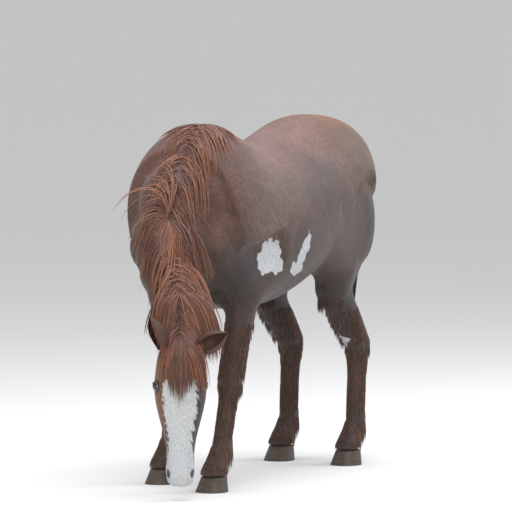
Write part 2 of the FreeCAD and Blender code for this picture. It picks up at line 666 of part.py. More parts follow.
def head_frame(x_shift):
    """Atlas joint and the head's directions: along the face, out of the forehead, and to its near side."""
    _, _, atlas, _, _ = neck_points(x_shift)
    along = heading(FACE_PITCH, HEAD_TURN)
    across = crosswise(HEAD_TURN)
    front = across.cross(along)
    if front.dot(heading(0.0, HEAD_TURN)) < 0:
        front = front.negative()
    return atlas, along, front, across


def head_point(x_shift, along, front, across=0.0):
    """Row-frame place of a point of the head given along the face, out of the forehead and to the near side."""
    origin, a, f, c = head_frame(x_shift)
    return origin + a * along + f * front + c * across


def head_loft(x_shift, grow=0.0):
    """Outer shape of the head, or a copy that stands out from it by grow."""
    origin, a, f, c = head_frame(x_shift)
    rings = []
    for s, fore, back, half in HEAD:
        centre = origin + a * s + f * ((fore - back) / 2)
        rings.append(ring(centre, c, f, half + grow, (fore + back) / 2 + grow, 2.15))
    return loft(rings)


def jaw_side(x_shift, gap):
    """Block on the jaw's side of the mouth, moved back by gap."""
    origin, a, f, c = head_frame(x_shift)
    (s0, f0), (s1, f1) = JAW_LINE
    start = head_point(x_shift, s0, f0)
    line = head_point(x_shift, s1, f1) - start
    normal = line.cross(c)
    if normal.dot(f) > 0:
        normal = normal.negative()
    return half_space(start + normal.normalize() * gap, normal), start, line.normalize(), normal


def build_head(x_shift):
    """Head, lower jaw, tongue, eyes, eyelids, ears and forelock."""
    origin, a, f, c = head_frame(x_shift)
    parts = {}
    block, hinge, along_jaw, normal = jaw_side(x_shift, 0.0)
    block_gap = jaw_side(x_shift, RUN)[0]
    before_hinge = half_space(hinge + along_jaw * JAW_BEHIND, along_jaw)
    jaw_space = block.common(half_space(hinge - along_jaw * JAW_ROOM, along_jaw))
    swing = Part.makeCylinder(JAW_HUB + RUN, 400, hinge - c * 200, c)
    cup = ball(origin, ATLAS_BALL + RUN)
    throat = neck_swing_space(x_shift)
    head = head_loft(x_shift).cut(jaw_space.fuse(swing)).cut(cup).cut(throat)
    hub = Part.makeCylinder(JAW_HUB, 150, hinge - c * 75, c)
    jaw = head_loft(x_shift).common(block_gap).common(before_hinge)
    jaw = biggest(jaw.cut(throat).fuse(hub))
    parts["lower_jaw"] = biggest(jaw.cut(build_tongue(x_shift, SEAT)))
    parts["tongue"] = build_tongue(x_shift)
    for side, out in SIDES.items():
        eye = head_point(x_shift, EYE_ALONG, EYE_LIFT, out * EYE_OUT)
        lid_radius = EYEBALL + SEAT + LID_WALL
        outward = half_space(eye - c * out * 2.0, c * out)
        head = head.cut(ball(eye, lid_radius + RUN).common(outward)).cut(ball(eye, EYEBALL + SEAT))
        parts[side + "_eye"] = ball(eye, EYEBALL)
        shell = ball(eye, lid_radius).cut(ball(eye, EYEBALL + SEAT)).common(half_space(eye + c * out * 1.0, c * out))
        parts[side + "_eyelid"] = biggest(shell.common(half_space(eye - a * 9.0, a.negative())))
        base, direction = ear_axis(x_shift, side)
        head = head.cut(ball(base, EAR_BASE_BALL + RUN))
        parts[side + "_ear"] = build_ear(base, direction, f, c)
    parts["head"] = biggest(head)
    parts["forelock"] = build_forelock(x_shift)
    return parts


def neck_swing_space(x_shift):
    """Wedge behind the poll and the throat that the top of the neck turns in."""
    _, _, atlas, _, pitch = neck_points(x_shift)
    turn = NECK_TURN + NECK_BEND
    back = 180.0 + pitch - NECK_ARCH
    space = sector(Vector(0, 0, 0), back - THROAT_FAN[0], back + THROAT_FAN[1], 420.0, -300.0, 300.0)
    space.rotate(Vector(0, 0, 0), Vector(0, 0, 1), turn)
    space.translate(atlas)
    return space


def build_tongue(x_shift, grow=0.0):
    """Flat tongue that lies in the lower jaw under the mouth's line."""
    origin, a, f, c = head_frame(x_shift)
    _, hinge, along, normal = jaw_side(x_shift, 0.0)
    rings = []
    for s, half in ((150.0, 20.0), (260.0, 24.0), (360.0, 22.0), (400.0, 12.0)):
        centre = hinge + along * s + normal * 9.0
        rings.append(ring(centre, c, normal, half + grow, 7.0 + grow))
    return loft(rings)


def ear_axis(x_shift, side):
    """Base of an ear and the way that it points."""
    origin, a, f, c = head_frame(x_shift)
    out = SIDES[side]
    base = head_point(x_shift, EAR_ALONG, EAR_LIFT, out * EAR_SPREAD)
    splay = math.radians(EAR_SPLAY[side])
    direction = a.negative() * math.cos(splay) + c * (out * math.sin(splay)) + f * 0.18
    return base, direction.normalize()


def build_ear(base, direction, front, across):
    """Ear: a hollow pointed cup on a round root."""
    sideways = direction.cross(front).normalize()
    face = sideways.cross(direction).normalize()
    outer, inner = [], []
    for share, wide in ((0.08, 9.0), (0.20, 15.0), (0.36, 27.0), (0.55, 30.0), (0.80, 18.0), (1.0, 4.0)):
        centre = base + direction * (EAR_LENGTH * share)
        outer.append(ring(centre, sideways, face, wide, wide * 0.62))
        if share > 0.2:
            hollow = max(wide - 5.0, 1.5)
            inner.append(ring(centre + face * (wide * 0.42), sideways, face, hollow, hollow * 0.66))
    cup = loft(outer).cut(loft(inner))
    return biggest(cup.fuse(ball(base, EAR_BASE_BALL)))


def build_forelock(x_shift):
    """Flat lock of hair that lies on the forehead."""
    origin, a, f, c = head_frame(x_shift)
    skin = head_loft(x_shift, SEAT)
    over = head_loft(x_shift, MANE_DEPTH * 0.6)
    lock = over.cut(skin)
    lock = lock.common(half_space(head_point(x_shift, -34.0, 0.0), a))
    lock = lock.common(half_space(head_point(x_shift, FORELOCK_LENGTH, 0.0), a.negative()))
    width = 42.0
    lock = lock.common(half_space(head_point(x_shift, 0, 0, width), c.negative()))
    lock = lock.common(half_space(head_point(x_shift, 0, 0, -width), c))
    lock = lock.common(half_space(head_point(x_shift, 0, 40.0), f))
    for side in SIDES:
        base, _ = ear_axis(x_shift, side)
        lock = lock.cut(ball(base, EAR_BASE_BALL + 14.0))
    return biggest(lock)


# ---------------------------------------------------------------- tail
def build_tail(x_shift):
    """Dock of the tail on its round root, and the tail's hair below it."""
    root, end, tip = tail_points(x_shift)
    across = Vector(0, 1, 0)
    dock = muscle(root, end, across, [(0.05, 29, 27, 0, 0), (0.5, 26, 24, 0, 0), (0.93, 23, 22, 0, 0)])
    dock = biggest(dock.fuse(ball(root, DOCK_BALL)).cut(ball(end, TAIL_BALL + RUN)))
    stations = [(0.02, 22, 24, 0, 0), (0.15, 38, 50, 0, 0), (0.5, 44, 64, 0, 0), (0.85, 36, 50, 0, 0),
                (1.0, 10, 14, 0, 0)]
    hair = muscle(end, tip, across, stations).fuse(ball(end, TAIL_BALL))
    return {"dock": dock, "tail_hair": biggest(hair.removeSplitter())}


# ---------------------------------------------------------------- the whole animal
def build_all(x_shift=0.0):
    """Every node's solid or group of solids by name."""
    nodes = {}
    nodes.update(build_trunk(x_shift))
    nodes.update(build_neck(x_shift))
    nodes.update(build_head(x_shift))
    nodes.update(build_tail(x_shift))
    for name in STEP:
        build = build_fore_leg if name.endswith("fore") else build_hind_leg
        for part, solid in build(name, x_shift).items():
            nodes[name + "_" + part] = solid
    return nodes


def middle_shift():
    """Move along X that puts the origin under the middle of the animal's box."""
    hair = build_tail(0.0)["tail_hair"]
    head = build_forelock(0.0)
    back = min(p.x for p in hair.tessellate(0.5)[0])
    face = max(max(p.x for p in s.tessellate(0.5)[0]) for s in (head_loft(0.0), head))
    return -(back + face) / 2


def side_shift(nodes):
    """Move along Y that puts the origin under the middle of the box, since the head reaches to the near side."""
    sides = [p.y for shape in nodes.values() for p in shape.tessellate(0.5)[0]]
    return -(min(sides) + max(sides)) / 2


def main():
    """Builds every node about the final origin and writes one STEP file each."""
    os.makedirs("parts", exist_ok=True)
    nodes = build_all(middle_shift())
    sideways = Vector(0, side_shift(nodes), 0)
    print("side shift", round(sideways.y, 3))
    for name, shape in sorted(nodes.items()):
        shape.translated(sideways).exportStep("parts/" + name + ".step")
        print(name, len(shape.Solids), round(shape.Volume / 1e6, 3))


if __name__ == "__main__":
    main()
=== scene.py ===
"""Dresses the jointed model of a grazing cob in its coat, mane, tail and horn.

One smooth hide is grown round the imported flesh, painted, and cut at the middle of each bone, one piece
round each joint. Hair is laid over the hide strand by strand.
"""
from __future__ import annotations

import json
import logging
import math
import random
from dataclasses import dataclass, field
from enum import Enum

import bmesh
import bpy
import numpy as np
from mathutils import Matrix, Vector, noise
from mathutils.bvhtree import BVHTree


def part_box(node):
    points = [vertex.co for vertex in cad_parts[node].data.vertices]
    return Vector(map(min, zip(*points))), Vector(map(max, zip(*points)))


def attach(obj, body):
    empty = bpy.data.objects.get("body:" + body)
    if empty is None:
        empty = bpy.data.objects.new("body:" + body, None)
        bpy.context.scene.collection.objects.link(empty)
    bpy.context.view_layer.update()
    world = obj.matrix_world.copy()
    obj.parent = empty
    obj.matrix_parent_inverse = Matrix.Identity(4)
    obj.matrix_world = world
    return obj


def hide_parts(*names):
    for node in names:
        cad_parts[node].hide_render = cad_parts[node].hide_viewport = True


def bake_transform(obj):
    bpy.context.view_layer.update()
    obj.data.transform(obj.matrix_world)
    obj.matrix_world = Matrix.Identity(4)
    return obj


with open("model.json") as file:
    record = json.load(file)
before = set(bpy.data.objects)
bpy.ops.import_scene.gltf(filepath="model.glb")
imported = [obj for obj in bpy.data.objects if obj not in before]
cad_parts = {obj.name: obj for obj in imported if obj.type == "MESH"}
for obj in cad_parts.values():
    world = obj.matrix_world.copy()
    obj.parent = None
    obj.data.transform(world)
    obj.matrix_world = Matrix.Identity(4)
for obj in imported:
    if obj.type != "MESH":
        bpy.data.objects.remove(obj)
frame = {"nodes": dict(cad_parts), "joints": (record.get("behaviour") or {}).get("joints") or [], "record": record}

log = logging.getLogger("cob")
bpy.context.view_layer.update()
DOWN = Vector((0, 0, -1))
UP = Vector((0, 0, 1))
WELD = 0.0002  # points nearer than this are one point


class Side(Enum):
    """The two sides of the horse; the near side is its left."""

    NEAR = 1
    OFF = -1

    @property
    def word(self) -> str:
        """The side's name at the start of a body or node."""
        return self.name.lower()


def joint_at(name: str) -> Vector:
    """The resting centre of a joint, in metres."""
    return Vector(next(j["pos_m"] for j in frame["joints"] if j["name"] == name))


def joint_axis(name: str) -> Vector:
    """The unit axis of a joint."""
    return Vector(next(j["axis"] for j in frame["joints"] if j["name"] == name)).normalized()


MID = joint_at("neck_swing").y


def linear(code: str) -> tuple[float, float, float, float]:
    """Turns an sRGB hex colour into linear RGBA.

    Args:
        code: a colour such as "#8a5a32".
    Returns:
        The linear colour with full alpha.
    """
    parts = [int(code[i : i + 2], 16) / 255 for i in (1, 3, 5)]
    flat = [p / 12.92 if p <= 0.04045 else ((p + 0.055) / 1.055) ** 2.4 for p in parts]
    return (*flat, 1.0)


def add(tree: bpy.types.NodeTree, kind: str, values: dict | None = None, links: dict | None = None,
        **settings: object) -> bpy.types.Node:
    """Adds one shader node.

    Args:
        tree: the material's node tree.
        kind: the node's type.
        values: constants by input.
        links: sockets by input.
        settings: the node's own properties.
    Returns:
        The new node.
    """
    made = tree.nodes.new(kind)
    for name, value in settings.items():
        setattr(made, name, value)
    for name, value in (values or {}).items():
        made.inputs[name].default_value = value
    for name, socket in (links or {}).items():
        tree.links.new(socket, made.inputs[name])
    return made


def ramp(tree: bpy.types.NodeTree, factor: bpy.types.NodeSocket,
         stops: list[tuple[float, tuple]]) -> bpy.types.Node:
    """Adds a colour ramp.

    Args:
        tree: the material's node tree.
        factor: the socket it reads.
        stops: places from 0 to 1, each with its linear colour.
    Returns:
        The ramp.
    """
    made = add(tree, "ShaderNodeValToRGB", links={"Fac": factor})
    bar = made.color_ramp.elements
    bar[0].position, bar[0].color = stops[0]
    bar[1].position, bar[1].color = stops[-1]
    for place, colour in stops[1:-1]:
        stop = bar.new(place)
        stop.color = colour
    return made


def grey(value: float) -> tuple[float, float, float, float]:
    """A linear grey."""
    return (value, value, value, 1.0)


def blank(name: str) -> tuple[bpy.types.Material, bpy.types.NodeTree, bpy.types.Node]:
    """An empty material with a Principled shader on its output."""
    made = bpy.data.materials.new(name)
    made.use_nodes = True
    made.node_tree.nodes.clear()
    shader = add(made.node_tree, "ShaderNodeBsdfPrincipled")
    add(made.node_tree, "ShaderNodeOutputMaterial", links={"Surface": shader.outputs[0]})
    return made, made.node_tree, shader


def streaks(tree: bpy.types.NodeTree, across_mm: float, along_mm: float, turn: tuple,
            detail: float = 3.0) -> bpy.types.Node:
    """Noise drawn out along the lie of the hair.

    Args:
        tree: the material's node tree.
        across_mm: the width of one streak.
        along_mm: its length.
        turn: the Euler angles that turn the streak from upright.
        detail: the noise's detail.
    Returns:
        The noise node.
    """
    place = add(tree, "ShaderNodeTexCoord").outputs["Object"]
    turned = add(tree, "ShaderNodeMapping", {"Rotation": turn}, {"Vector": place})
    thin, long = 1000 / across_mm, 1000 / along_mm
    scaled = add(tree, "ShaderNodeMapping", {"Scale": (thin, thin, long)}, {"Vector": turned.outputs[0]})
    return add(tree, "ShaderNodeTexNoise", {"Scale": 1.0, "Detail": detail, "Roughness": 0.6},
               {"Vector": scaled.outputs[0]})


@dataclass(frozen=True)
class CoatFinish:
    """Winter horse hair: short, dense and dull, in small clumps, with a soft pale bloom at grazing angles."""

    clump_mm: float = 11.0
    lie_mm: float = 46.0
    lie: tuple = (0.0, math.radians(-38), 0.0)
    white: str = "#bfc2c4"
    white_shadow: str = "#8f9194"
    bloom: str = "#b6aeb0"

    def build(self) -> bpy.types.Material:
        """The coat: the painted tone, with its painted highlight and painted shade, times clumps of hair, with
        ragged edges to the white marks.
        """
        made, tree, shader = blank("winter_coat_hair")
        # the painted tone: coat colour with painted highlight on top and painted shade below
        tone = add(tree, "ShaderNodeAttribute", attribute_name="tone").outputs["Color"]
        mark = add(tree, "ShaderNodeAttribute", attribute_name="white").outputs["Fac"]
        clumps = streaks(tree, self.clump_mm, self.lie_mm, self.lie)
        fine = streaks(tree, self.clump_mm / 3, self.lie_mm / 2, self.lie, 2.0)
        broad = streaks(tree, 120, 190, self.lie, 2.0)
        shade = ramp(tree, clumps.outputs["Fac"], [(0.3, grey(0.62)), (0.5, grey(1.0)), (0.72, grey(1.34))])
        drift = ramp(tree, broad.outputs["Fac"], [(0.3, grey(0.8)), (0.7, grey(1.18))])
        first = self.multiply(tree, tone, shade.outputs[0])
        second = self.multiply(tree, first, drift.outputs[0])
        ragged = add(tree, "ShaderNodeMath", {1: 0.9}, {0: clumps.outputs["Fac"]}, operation="MULTIPLY")
        lifted = add(tree, "ShaderNodeMath", {1: -0.45}, {0: ragged.outputs[0]}, operation="ADD")
        edge = add(tree, "ShaderNodeMath", {}, {0: mark, 1: lifted.outputs[0]}, operation="ADD")
        cover = ramp(tree, edge.outputs[0], [(0.42, grey(0.0)), (0.58, grey(1.0))])
        pale = ramp(tree, fine.outputs["Fac"], [(0.25, linear(self.white_shadow)), (0.7, linear(self.white))])
        mixed = add(tree, "ShaderNodeMix", data_type="RGBA")
        tree.links.new(cover.outputs[0], mixed.inputs[0])
        tree.links.new(second, mixed.inputs[6])
        tree.links.new(pale.outputs[0], mixed.inputs[7])
        tree.links.new(mixed.outputs[2], shader.inputs["Base Color"])
        both = add(tree, "ShaderNodeMath", {}, {0: clumps.outputs["Fac"], 1: fine.outputs["Fac"]},
                   operation="ADD")
        bump = add(tree, "ShaderNodeBump", {"Strength": 0.55, "Distance": 0.004}, {"Height": both.outputs[0]})
        tree.links.new(bump.outputs[0], shader.inputs["Normal"])
        shader.inputs["Roughness"].default_value = 0.58
        shader.inputs["Sheen Weight"].default_value = 0.2
        shader.inputs["Sheen Roughness"].default_value = 0.4
        shader.inputs["Sheen Tint"].default_value = linear(self.bloom)
        return made

    def multiply(self, tree: bpy.types.NodeTree, a: bpy.types.NodeSocket,
                 b: bpy.types.NodeSocket) -> bpy.types.NodeSocket:
        """The product of two colours."""
        made = add(tree, "ShaderNodeMix", data_type="RGBA", blend_type="MULTIPLY")
        made.inputs[0].default_value = 1.0
        tree.links.new(a, made.inputs[6])
        tree.links.new(b, made.inputs[7])
        return made.outputs[2]


@dataclass(frozen=True)
class HairFinish:
    """Coarse mane and tail hair, straight and slightly greasy, lit along its length."""

    name: str
    root: str
    middle: str
    tip: str
    roughness: float = 0.42

    def build(self) -> bpy.types.Material:
        """Hair that runs from its root colour to its tip colour, each strand a little different."""
        made, tree, shader = blank(self.name)
        shade = add(tree, "ShaderNodeAttribute", attribute_name="shade").outputs["Fac"]
        fine = streaks(tree, 5, 60, (0.0, 0.0, 0.0), 2.0)
        mixed = add(tree, "ShaderNodeMath", {1: 0.25}, {0: fine.outputs["Fac"]}, operation="MULTIPLY")
        total = add(tree, "ShaderNodeMath", {}, {0: shade, 1: mixed.outputs[0]}, operation="ADD")
        tones = ramp(tree, total.outputs[0], [(0.1, linear(self.root)), (0.55, linear(self.middle)),
                                              (1.0, linear(self.tip))])
        tree.links.new(tones.outputs[0], shader.inputs["Base Color"])
        shader.inputs["Roughness"].default_value = self.roughness
        shader.inputs["Sheen Weight"].default_value = 0.15
        return made


@dataclass(frozen=True)
class HornFinish:
    """Hoof horn: dark keratin with faint rings across and fine lines down the wall."""

    ring_mm: float = 7.0
    dark: str = "#2b241f"
    pale: str = "#5b4c3e"

    def build(self) -> bpy.types.Material:
        """Rings from a stretched noise, crossed with fine lines, at one waxy roughness."""
        made, tree, shader = blank("hoof_horn")
        rings = streaks(tree, 60, self.ring_mm, (0.0, 0.0, 0.0), 2.0)
        lines = streaks(tree, 2.5, 40, (0.0, 0.0, 0.0), 2.0)
        both = add(tree, "ShaderNodeMath", {}, {0: rings.outputs["Fac"], 1: lines.outputs["Fac"]},
                   operation="MULTIPLY")
        tones = ramp(tree, both.outputs[0], [(0.12, linear(self.dark)), (0.45, linear(self.pale))])
        tree.links.new(tones.outputs[0], shader.inputs["Base Color"])
        bump = add(tree, "ShaderNodeBump", {"Strength": 0.5, "Distance": 0.002},
                   {"Height": rings.outputs["Fac"]})
        tree.links.new(bump.outputs[0], shader.inputs["Normal"])
        shader.inputs["Roughness"].default_value = 0.46
        return made


@dataclass(frozen=True)
class PlainFinish:
    """A natural surface of one family of colour: mottled, with a fine grain."""

    name: str
    low: str
    high: str
    grain_mm: float
    roughness: float
    bump: float = 0.3
    coat: float = 0.0
    subsurface: float = 0.0

    def build(self) -> bpy.types.Material:
        """Two tones over a noise of the grain's size."""
        made, tree, shader = blank(self.name)
        grain = streaks(tree, self.grain_mm, self.grain_mm * 1.6, (0.0, 0.0, 0.0), 4.0)
        tones = ramp(tree, grain.outputs["Fac"], [(0.3, linear(self.low)), (0.7, linear(self.high))])
        tree.links.new(tones.outputs[0], shader.inputs["Base Color"])
        bump = add(tree, "ShaderNodeBump", {"Strength": self.bump, "Distance": 0.001},
                   {"Height": grain.outputs["Fac"]})
        tree.links.new(bump.outputs[0], shader.inputs["Normal"])
        shader.inputs["Roughness"].default_value = self.roughness
        shader.inputs["Coat Weight"].default_value = self.coat
        shader.inputs["Subsurface Weight"].default_value = self.subsurface
        shader.inputs["Subsurface Scale"].default_value = 0.004
        return made


# Fresh bone is cream with a faint grain and a dull polish.
BONE = PlainFinish("cleaned_bone", "#cbbd9c", "#e6dcc2", 6, 0.5)
# Living muscle is dark red, wet and fibrous.
FLESH = PlainFinish("red_muscle", "#5a1f1c", "#7c302a", 4, 0.45)
# The eyeball is near black, glassy and wet, with a brown cast.
EYE = PlainFinish("wet_dark_eye", "#080504", "#1b0f09", 9, 0.06, 0.05, 0.8)
# Bare lid skin is slate dark, creased and slightly greasy.
LID = PlainFinish("eyelid_skin", "#2b2220", "#453733", 3, 0.5, 0.5)
# A tongue is pink, wet and rough with papillae.
TONGUE = PlainFinish("wet_tongue", "#a55a55", "#c77a72", 2, 0.3, 0.5, 0.2, 0.1)
MANE_HAIR = HairFinish("mane_hair", "#24130d", "#572f21", "#96603f")
FORELOCK_HAIR = HairFinish("forelock_hair", "#23130d", "#522c1e", "#85502f")
FEATHER_HAIR = HairFinish("leg_feather_hair", "#22140d", "#452a1b", "#6b452e")
TAIL_HAIR = HairFinish("tail_hair", "#1d120d", "#3d281d", "#6b4a34")


class Store:
    """Builds each finish once."""

    def __init__(self) -> None:
        """Starts empty."""
        self.made: dict[str, bpy.types.Material] = {}

    def get(self, finish: object) -> bpy.types.Material:
        """The material of a finish, built the first time it is asked for."""
        key = repr(finish)
        if key not in self.made:
            self.made[key] = finish.build()
        return self.made[key]


STORE = Store()


def new_object(name: str, mesh: bpy.types.Mesh, finish: object) -> bpy.types.Object:
    """Links a mesh as an object at the origin, smooth and dressed."""
    made = place_object(name, mesh)
    mesh.materials.clear()
    mesh.materials.append(STORE.get(finish))
    mesh.polygons.foreach_set("use_smooth", [True] * len(mesh.polygons))
    return made


def as_bmesh(mesh: bpy.types.Mesh) -> bmesh.types.BMesh:
    """A bmesh copy of a mesh."""
    made = bmesh.new()
    made.from_mesh(mesh)
    return made


def as_mesh(name: str, bm: bmesh.types.BMesh) -> bpy.types.Mesh:
    """Turns a bmesh into a new mesh and frees it."""
    made = bpy.data.meshes.new(name)
    bm.to_mesh(made)
    bm.free()
    return made


def place_object(name: str, data: bpy.types.ID) -> bpy.types.Object:
    """Links new data to the scene as an object."""
    made = bpy.data.objects.new(name, data)
    bpy.context.scene.collection.objects.link(made)
    return made


def relax(bm: bmesh.types.BMesh, rounds: int) -> None:
    """Smooths every point halfway to its neighbours, a number of times."""
    for _ in range(rounds):
        bmesh.ops.smooth_vert(bm, verts=bm.verts, factor=0.5, use_axis_x=True, use_axis_y=True,
                              use_axis_z=True)


def welded(node: str) -> bmesh.types.BMesh:
    """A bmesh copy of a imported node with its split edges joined."""
    made = as_bmesh(frame["nodes"][node].data)
    bmesh.ops.remove_doubles(made, verts=made.verts, dist=WELD)
    return made


def ball(bm: bmesh.types.BMesh, centre: Vector, radii: tuple[float, float, float],
         turn: Matrix | None = None) -> list:
    """Adds an ellipsoid.

    Args:
        bm: the bmesh it joins.
        centre: its centre.
        radii: its three half sizes.
        turn: its rotation.
    Returns:
        Its vertices.
    """
    place = Matrix.Translation(centre) @ (turn or Matrix.Identity(4)) @ Matrix.Diagonal((*radii, 1))
    return bmesh.ops.create_icosphere(bm, subdivisions=3, radius=1.0, matrix=place)["verts"]


def capsule(bm: bmesh.types.BMesh, ends: list[tuple[Vector, tuple[float, float, float]]]) -> None:
    """Adds the hull round a few ellipsoids, as a muscle that tapers between them."""
    part = bmesh.new()
    for centre, radii in ends:
        ball(part, centre, radii)
    shell = bmesh.ops.convex_hull(part, input=part.verts)
    spare = shell["geom_interior"] + shell["geom_unused"]
    inner = list(dict.fromkeys(g for g in spare if isinstance(g, bmesh.types.BMVert)))
    bmesh.ops.delete(part, geom=inner, context="VERTS")
    bmesh.ops.recalc_face_normals(part, faces=part.faces)
    mesh = as_mesh("form", part)
    bm.from_mesh(mesh)
    bpy.data.meshes.remove(mesh)


@dataclass
class Region:
    """One piece of the hide: where it lies, and the two bodies that meet at its joint."""

    name: str
    parent: str
    child: str
    walls: list[tuple[Vector, Vector]]
    start: Vector
    end: Vector
    replaces: tuple[str, ...] = ()


@dataclass
class Hide:
    """The whole hide at rest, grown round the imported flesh, then painted and cut into pieces."""

    grid: float = 0.0085
    closing: float = 0.024
    rounds: int = 7
    nostril_radius: float = 0.024
    nostril_depth: float = 0.012
    socket: tuple[float, float] = (0.03, 0.022)
    socket_depth: float = 0.016
    seam_margin: float = 0.03
    seam_reach: float = 0.04
    flesh: tuple[str, ...] = (
        "trunk", "neck_root", "lower_neck", "upper_neck", "atlas", "head", "dock",
    )
    mesh: bpy.types.Mesh | None = None
    tree: BVHTree | None = None
    regions: list[Region] = field(default_factory=list)

    def limb_nodes(self) -> list[str]:
        """The flesh nodes of the four legs, without their hooves."""
        fore = [f"{s.word}_fore_{p}" for s in Side for p in ("upper_arm", "forearm", "cannon", "pastern")]
        hind = [f"{s.word}_hind_{p}" for s in Side for p in ("thigh", "gaskin", "cannon", "pastern")]
        return fore + hind

    def gather(self) -> bpy.types.Object:
        """Joins copies of the flesh nodes with the forms that bridge the joints."""
        whole = bmesh.new()
        for name in [*self.flesh, *self.limb_nodes()]:
            mesh = as_mesh("copy", welded(name))
            whole.from_mesh(mesh)
            bpy.data.meshes.remove(mesh)
        for side in Side:
            self.bridge_limbs(whole, side)
        self.bridge_neck(whole)
        return place_object("hide_form", as_mesh("hide", whole))

    def bridge_limbs(self, whole: bmesh.types.BMesh, side: Side) -> None:
        """Shoulder, arm, haunch and gaskin muscles, so that no joint shows as a gap."""
        out = side.value
        shoulder, elbow = joint_at(f"{side.word}_fore_shoulder"), joint_at(f"{side.word}_fore_elbow")
        knee = joint_at(f"{side.word}_fore_knee")
        blade = Vector((0.37, MID + out * 0.15, 1.28))
        inner = Vector((0, out * 0.02, 0))
        capsule(whole, [(shoulder, (0.085, 0.068, 0.1)), (blade, (0.1, 0.07, 0.1)),
                        (elbow + inner, (0.09, 0.075, 0.1))])
        girth = Vector((0.02, MID + out * 0.19, 1.02))
        capsule(whole, [(blade, (0.1, 0.08, 0.1)), (elbow + inner * 0.5, (0.08, 0.085, 0.09)),
                        (girth, (0.1, 0.125, 0.2))])
        capsule(whole, [(elbow, (0.085, 0.062, 0.085)), (elbow.lerp(knee, 0.45), (0.062, 0.052, 0.06))])
        capsule(whole, [(elbow.lerp(knee, 0.45), (0.06, 0.05, 0.06)), (knee, (0.057, 0.053, 0.062))])
        self.shank(whole, f"{side.word}_fore", knee, 0.038)
        stifle, hock = joint_at(f"{side.word}_hind_stifle"), joint_at(f"{side.word}_hind_hock")
        hip = Vector((stifle.x - 0.16, MID + out * 0.16, 1.12))
        buttock = Vector((-0.84, MID + out * 0.115, 0.98))
        capsule(whole, [(hip, (0.13, 0.1, 0.15)), (stifle, (0.085, 0.075, 0.1)),
                        (buttock, (0.06, 0.06, 0.12))])
        rump = Vector((-0.78, MID + out * 0.1, 1.3))
        capsule(whole, [(rump, (0.08, 0.075, 0.09)), (hip + Vector((0.05, 0, 0.06)), (0.12, 0.1, 0.12)),
                        (Vector((-0.86, MID + out * 0.13, 1.1)), (0.05, 0.045, 0.13))])
        capsule(whole, [(stifle, (0.08, 0.068, 0.09)), (stifle.lerp(hock, 0.5), (0.075, 0.055, 0.075)),
                        (hock, (0.062, 0.052, 0.065))])
        self.shank(whole, f"{side.word}_hind", hock, 0.041)
        flank = Vector((-0.30, MID + out * 0.17, 1.06))
        capsule(whole, [(hip, (0.12, 0.1, 0.15)), (stifle + Vector((-0.02, 0, 0.1)), (0.08, 0.08, 0.1)),
                        (flank, (0.12, 0.125, 0.17))])

    def shank(self, whole: bmesh.types.BMesh, leg: str, top: Vector, thick: float) -> None:
        """The cannon, fetlock, pastern and coronet of one leg.

        Args:
            whole: the bmesh they join.
            leg: the leg's name.
            top: the knee or the hock.
            thick: the cannon's half thickness.
        """
        fetlock, coffin = joint_at(f"{leg}_fetlock"), joint_at(f"{leg}_coffin")
        capsule(whole, [(top, (thick * 1.2, thick * 1.15, 0.06)),
                        (top.lerp(fetlock, 0.3), (thick, thick, 0.03))])
        capsule(whole, [(top.lerp(fetlock, 0.2), (thick, thick * 0.95, 0.03)),
                        (fetlock, (thick, thick * 0.95, 0.03))])
        capsule(whole, [(fetlock + Vector((-0.01, 0, 0)), (0.047, 0.042, 0.042)),
                        (fetlock.lerp(coffin, 0.5), (0.042, 0.039, 0.03))])
        capsule(whole, [(fetlock.lerp(coffin, 0.4), (0.04, 0.038, 0.03)),
                        (coffin + Vector((0.004, 0, -0.008)), (0.058, 0.054, 0.02))])

    def bridge_neck(self, whole: bmesh.types.BMesh) -> None:
        """The base of the neck, the brisket and the throat."""
        root, middle, poll = joint_at("neck_swing"), joint_at("neck_bend"), joint_at("head_turn")
        capsule(whole, [(root, (0.17, 0.15, 0.2)), (middle, (0.12, 0.11, 0.13))])
        breast = Vector((root.x + 0.07, MID, root.z - 0.24))
        capsule(whole, [(root, (0.14, 0.16, 0.16)), (breast, (0.085, 0.17, 0.12)),
                        (breast - Vector((0.2, 0, 0.06)), (0.1, 0.15, 0.1))])
        capsule(whole, [(middle, (0.12, 0.1, 0.12)), (poll, (0.075, 0.075, 0.06))])

    def grow(self) -> None:
        """Wraps the forms in one skin: swelled, fused, shrunk back and smoothed."""
        made = self.gather()
        self.fuse(made, self.grid)
        self.keep_largest(made.data)
        self.swell(made.data, self.closing)
        self.fuse(made, self.grid)
        self.keep_largest(made.data)
        self.swell(made.data, -self.closing)
        bm = as_bmesh(made.data)
        relax(bm, self.rounds)
        bm.normal_update()
        self.press_face(bm)
        bm.to_mesh(made.data)
        bm.free()
        self.mesh = made.data.copy()
        bpy.data.objects.remove(made)
        log.info("hide has %d points", len(self.mesh.vertices))

    def press_face(self, bm: bmesh.types.BMesh) -> None:
        """Presses the two nostrils into the muzzle and opens a hollow round each eye."""
        for side in Side:
            spot = HEAD.nostril(side)
            for vert in bm.verts:
                gap = (vert.co - spot).length / self.nostril_radius
                if gap < 1.0:
                    vert.co -= vert.normal * self.nostril_depth * (1 - gap ** 2)
            eye = joint_at(f"{side.word}_eye_roll")
            long, short = self.socket
            for vert in bm.verts:
                rel = vert.co - eye
                flat = Vector((rel.dot(HEAD.down) / long, rel.dot(HEAD.front) / short, 0)).length
                if flat < 1.0 and rel.dot(HEAD.across) * side.value > 0:
                    vert.co -= HEAD.across * side.value * self.socket_depth * (1 - flat ** 2)

    def fuse(self, made: bpy.types.Object, grid: float) -> None:
        """Remeshes the object at one grid size."""
        change = made.modifiers.new("fuse", "REMESH")
        change.mode = "VOXEL"
        change.voxel_size = grid
        graph = bpy.context.evaluated_depsgraph_get()
        mesh = bpy.data.meshes.new_from_object(made.evaluated_get(graph))
        made.modifiers.clear()
        made.data = mesh

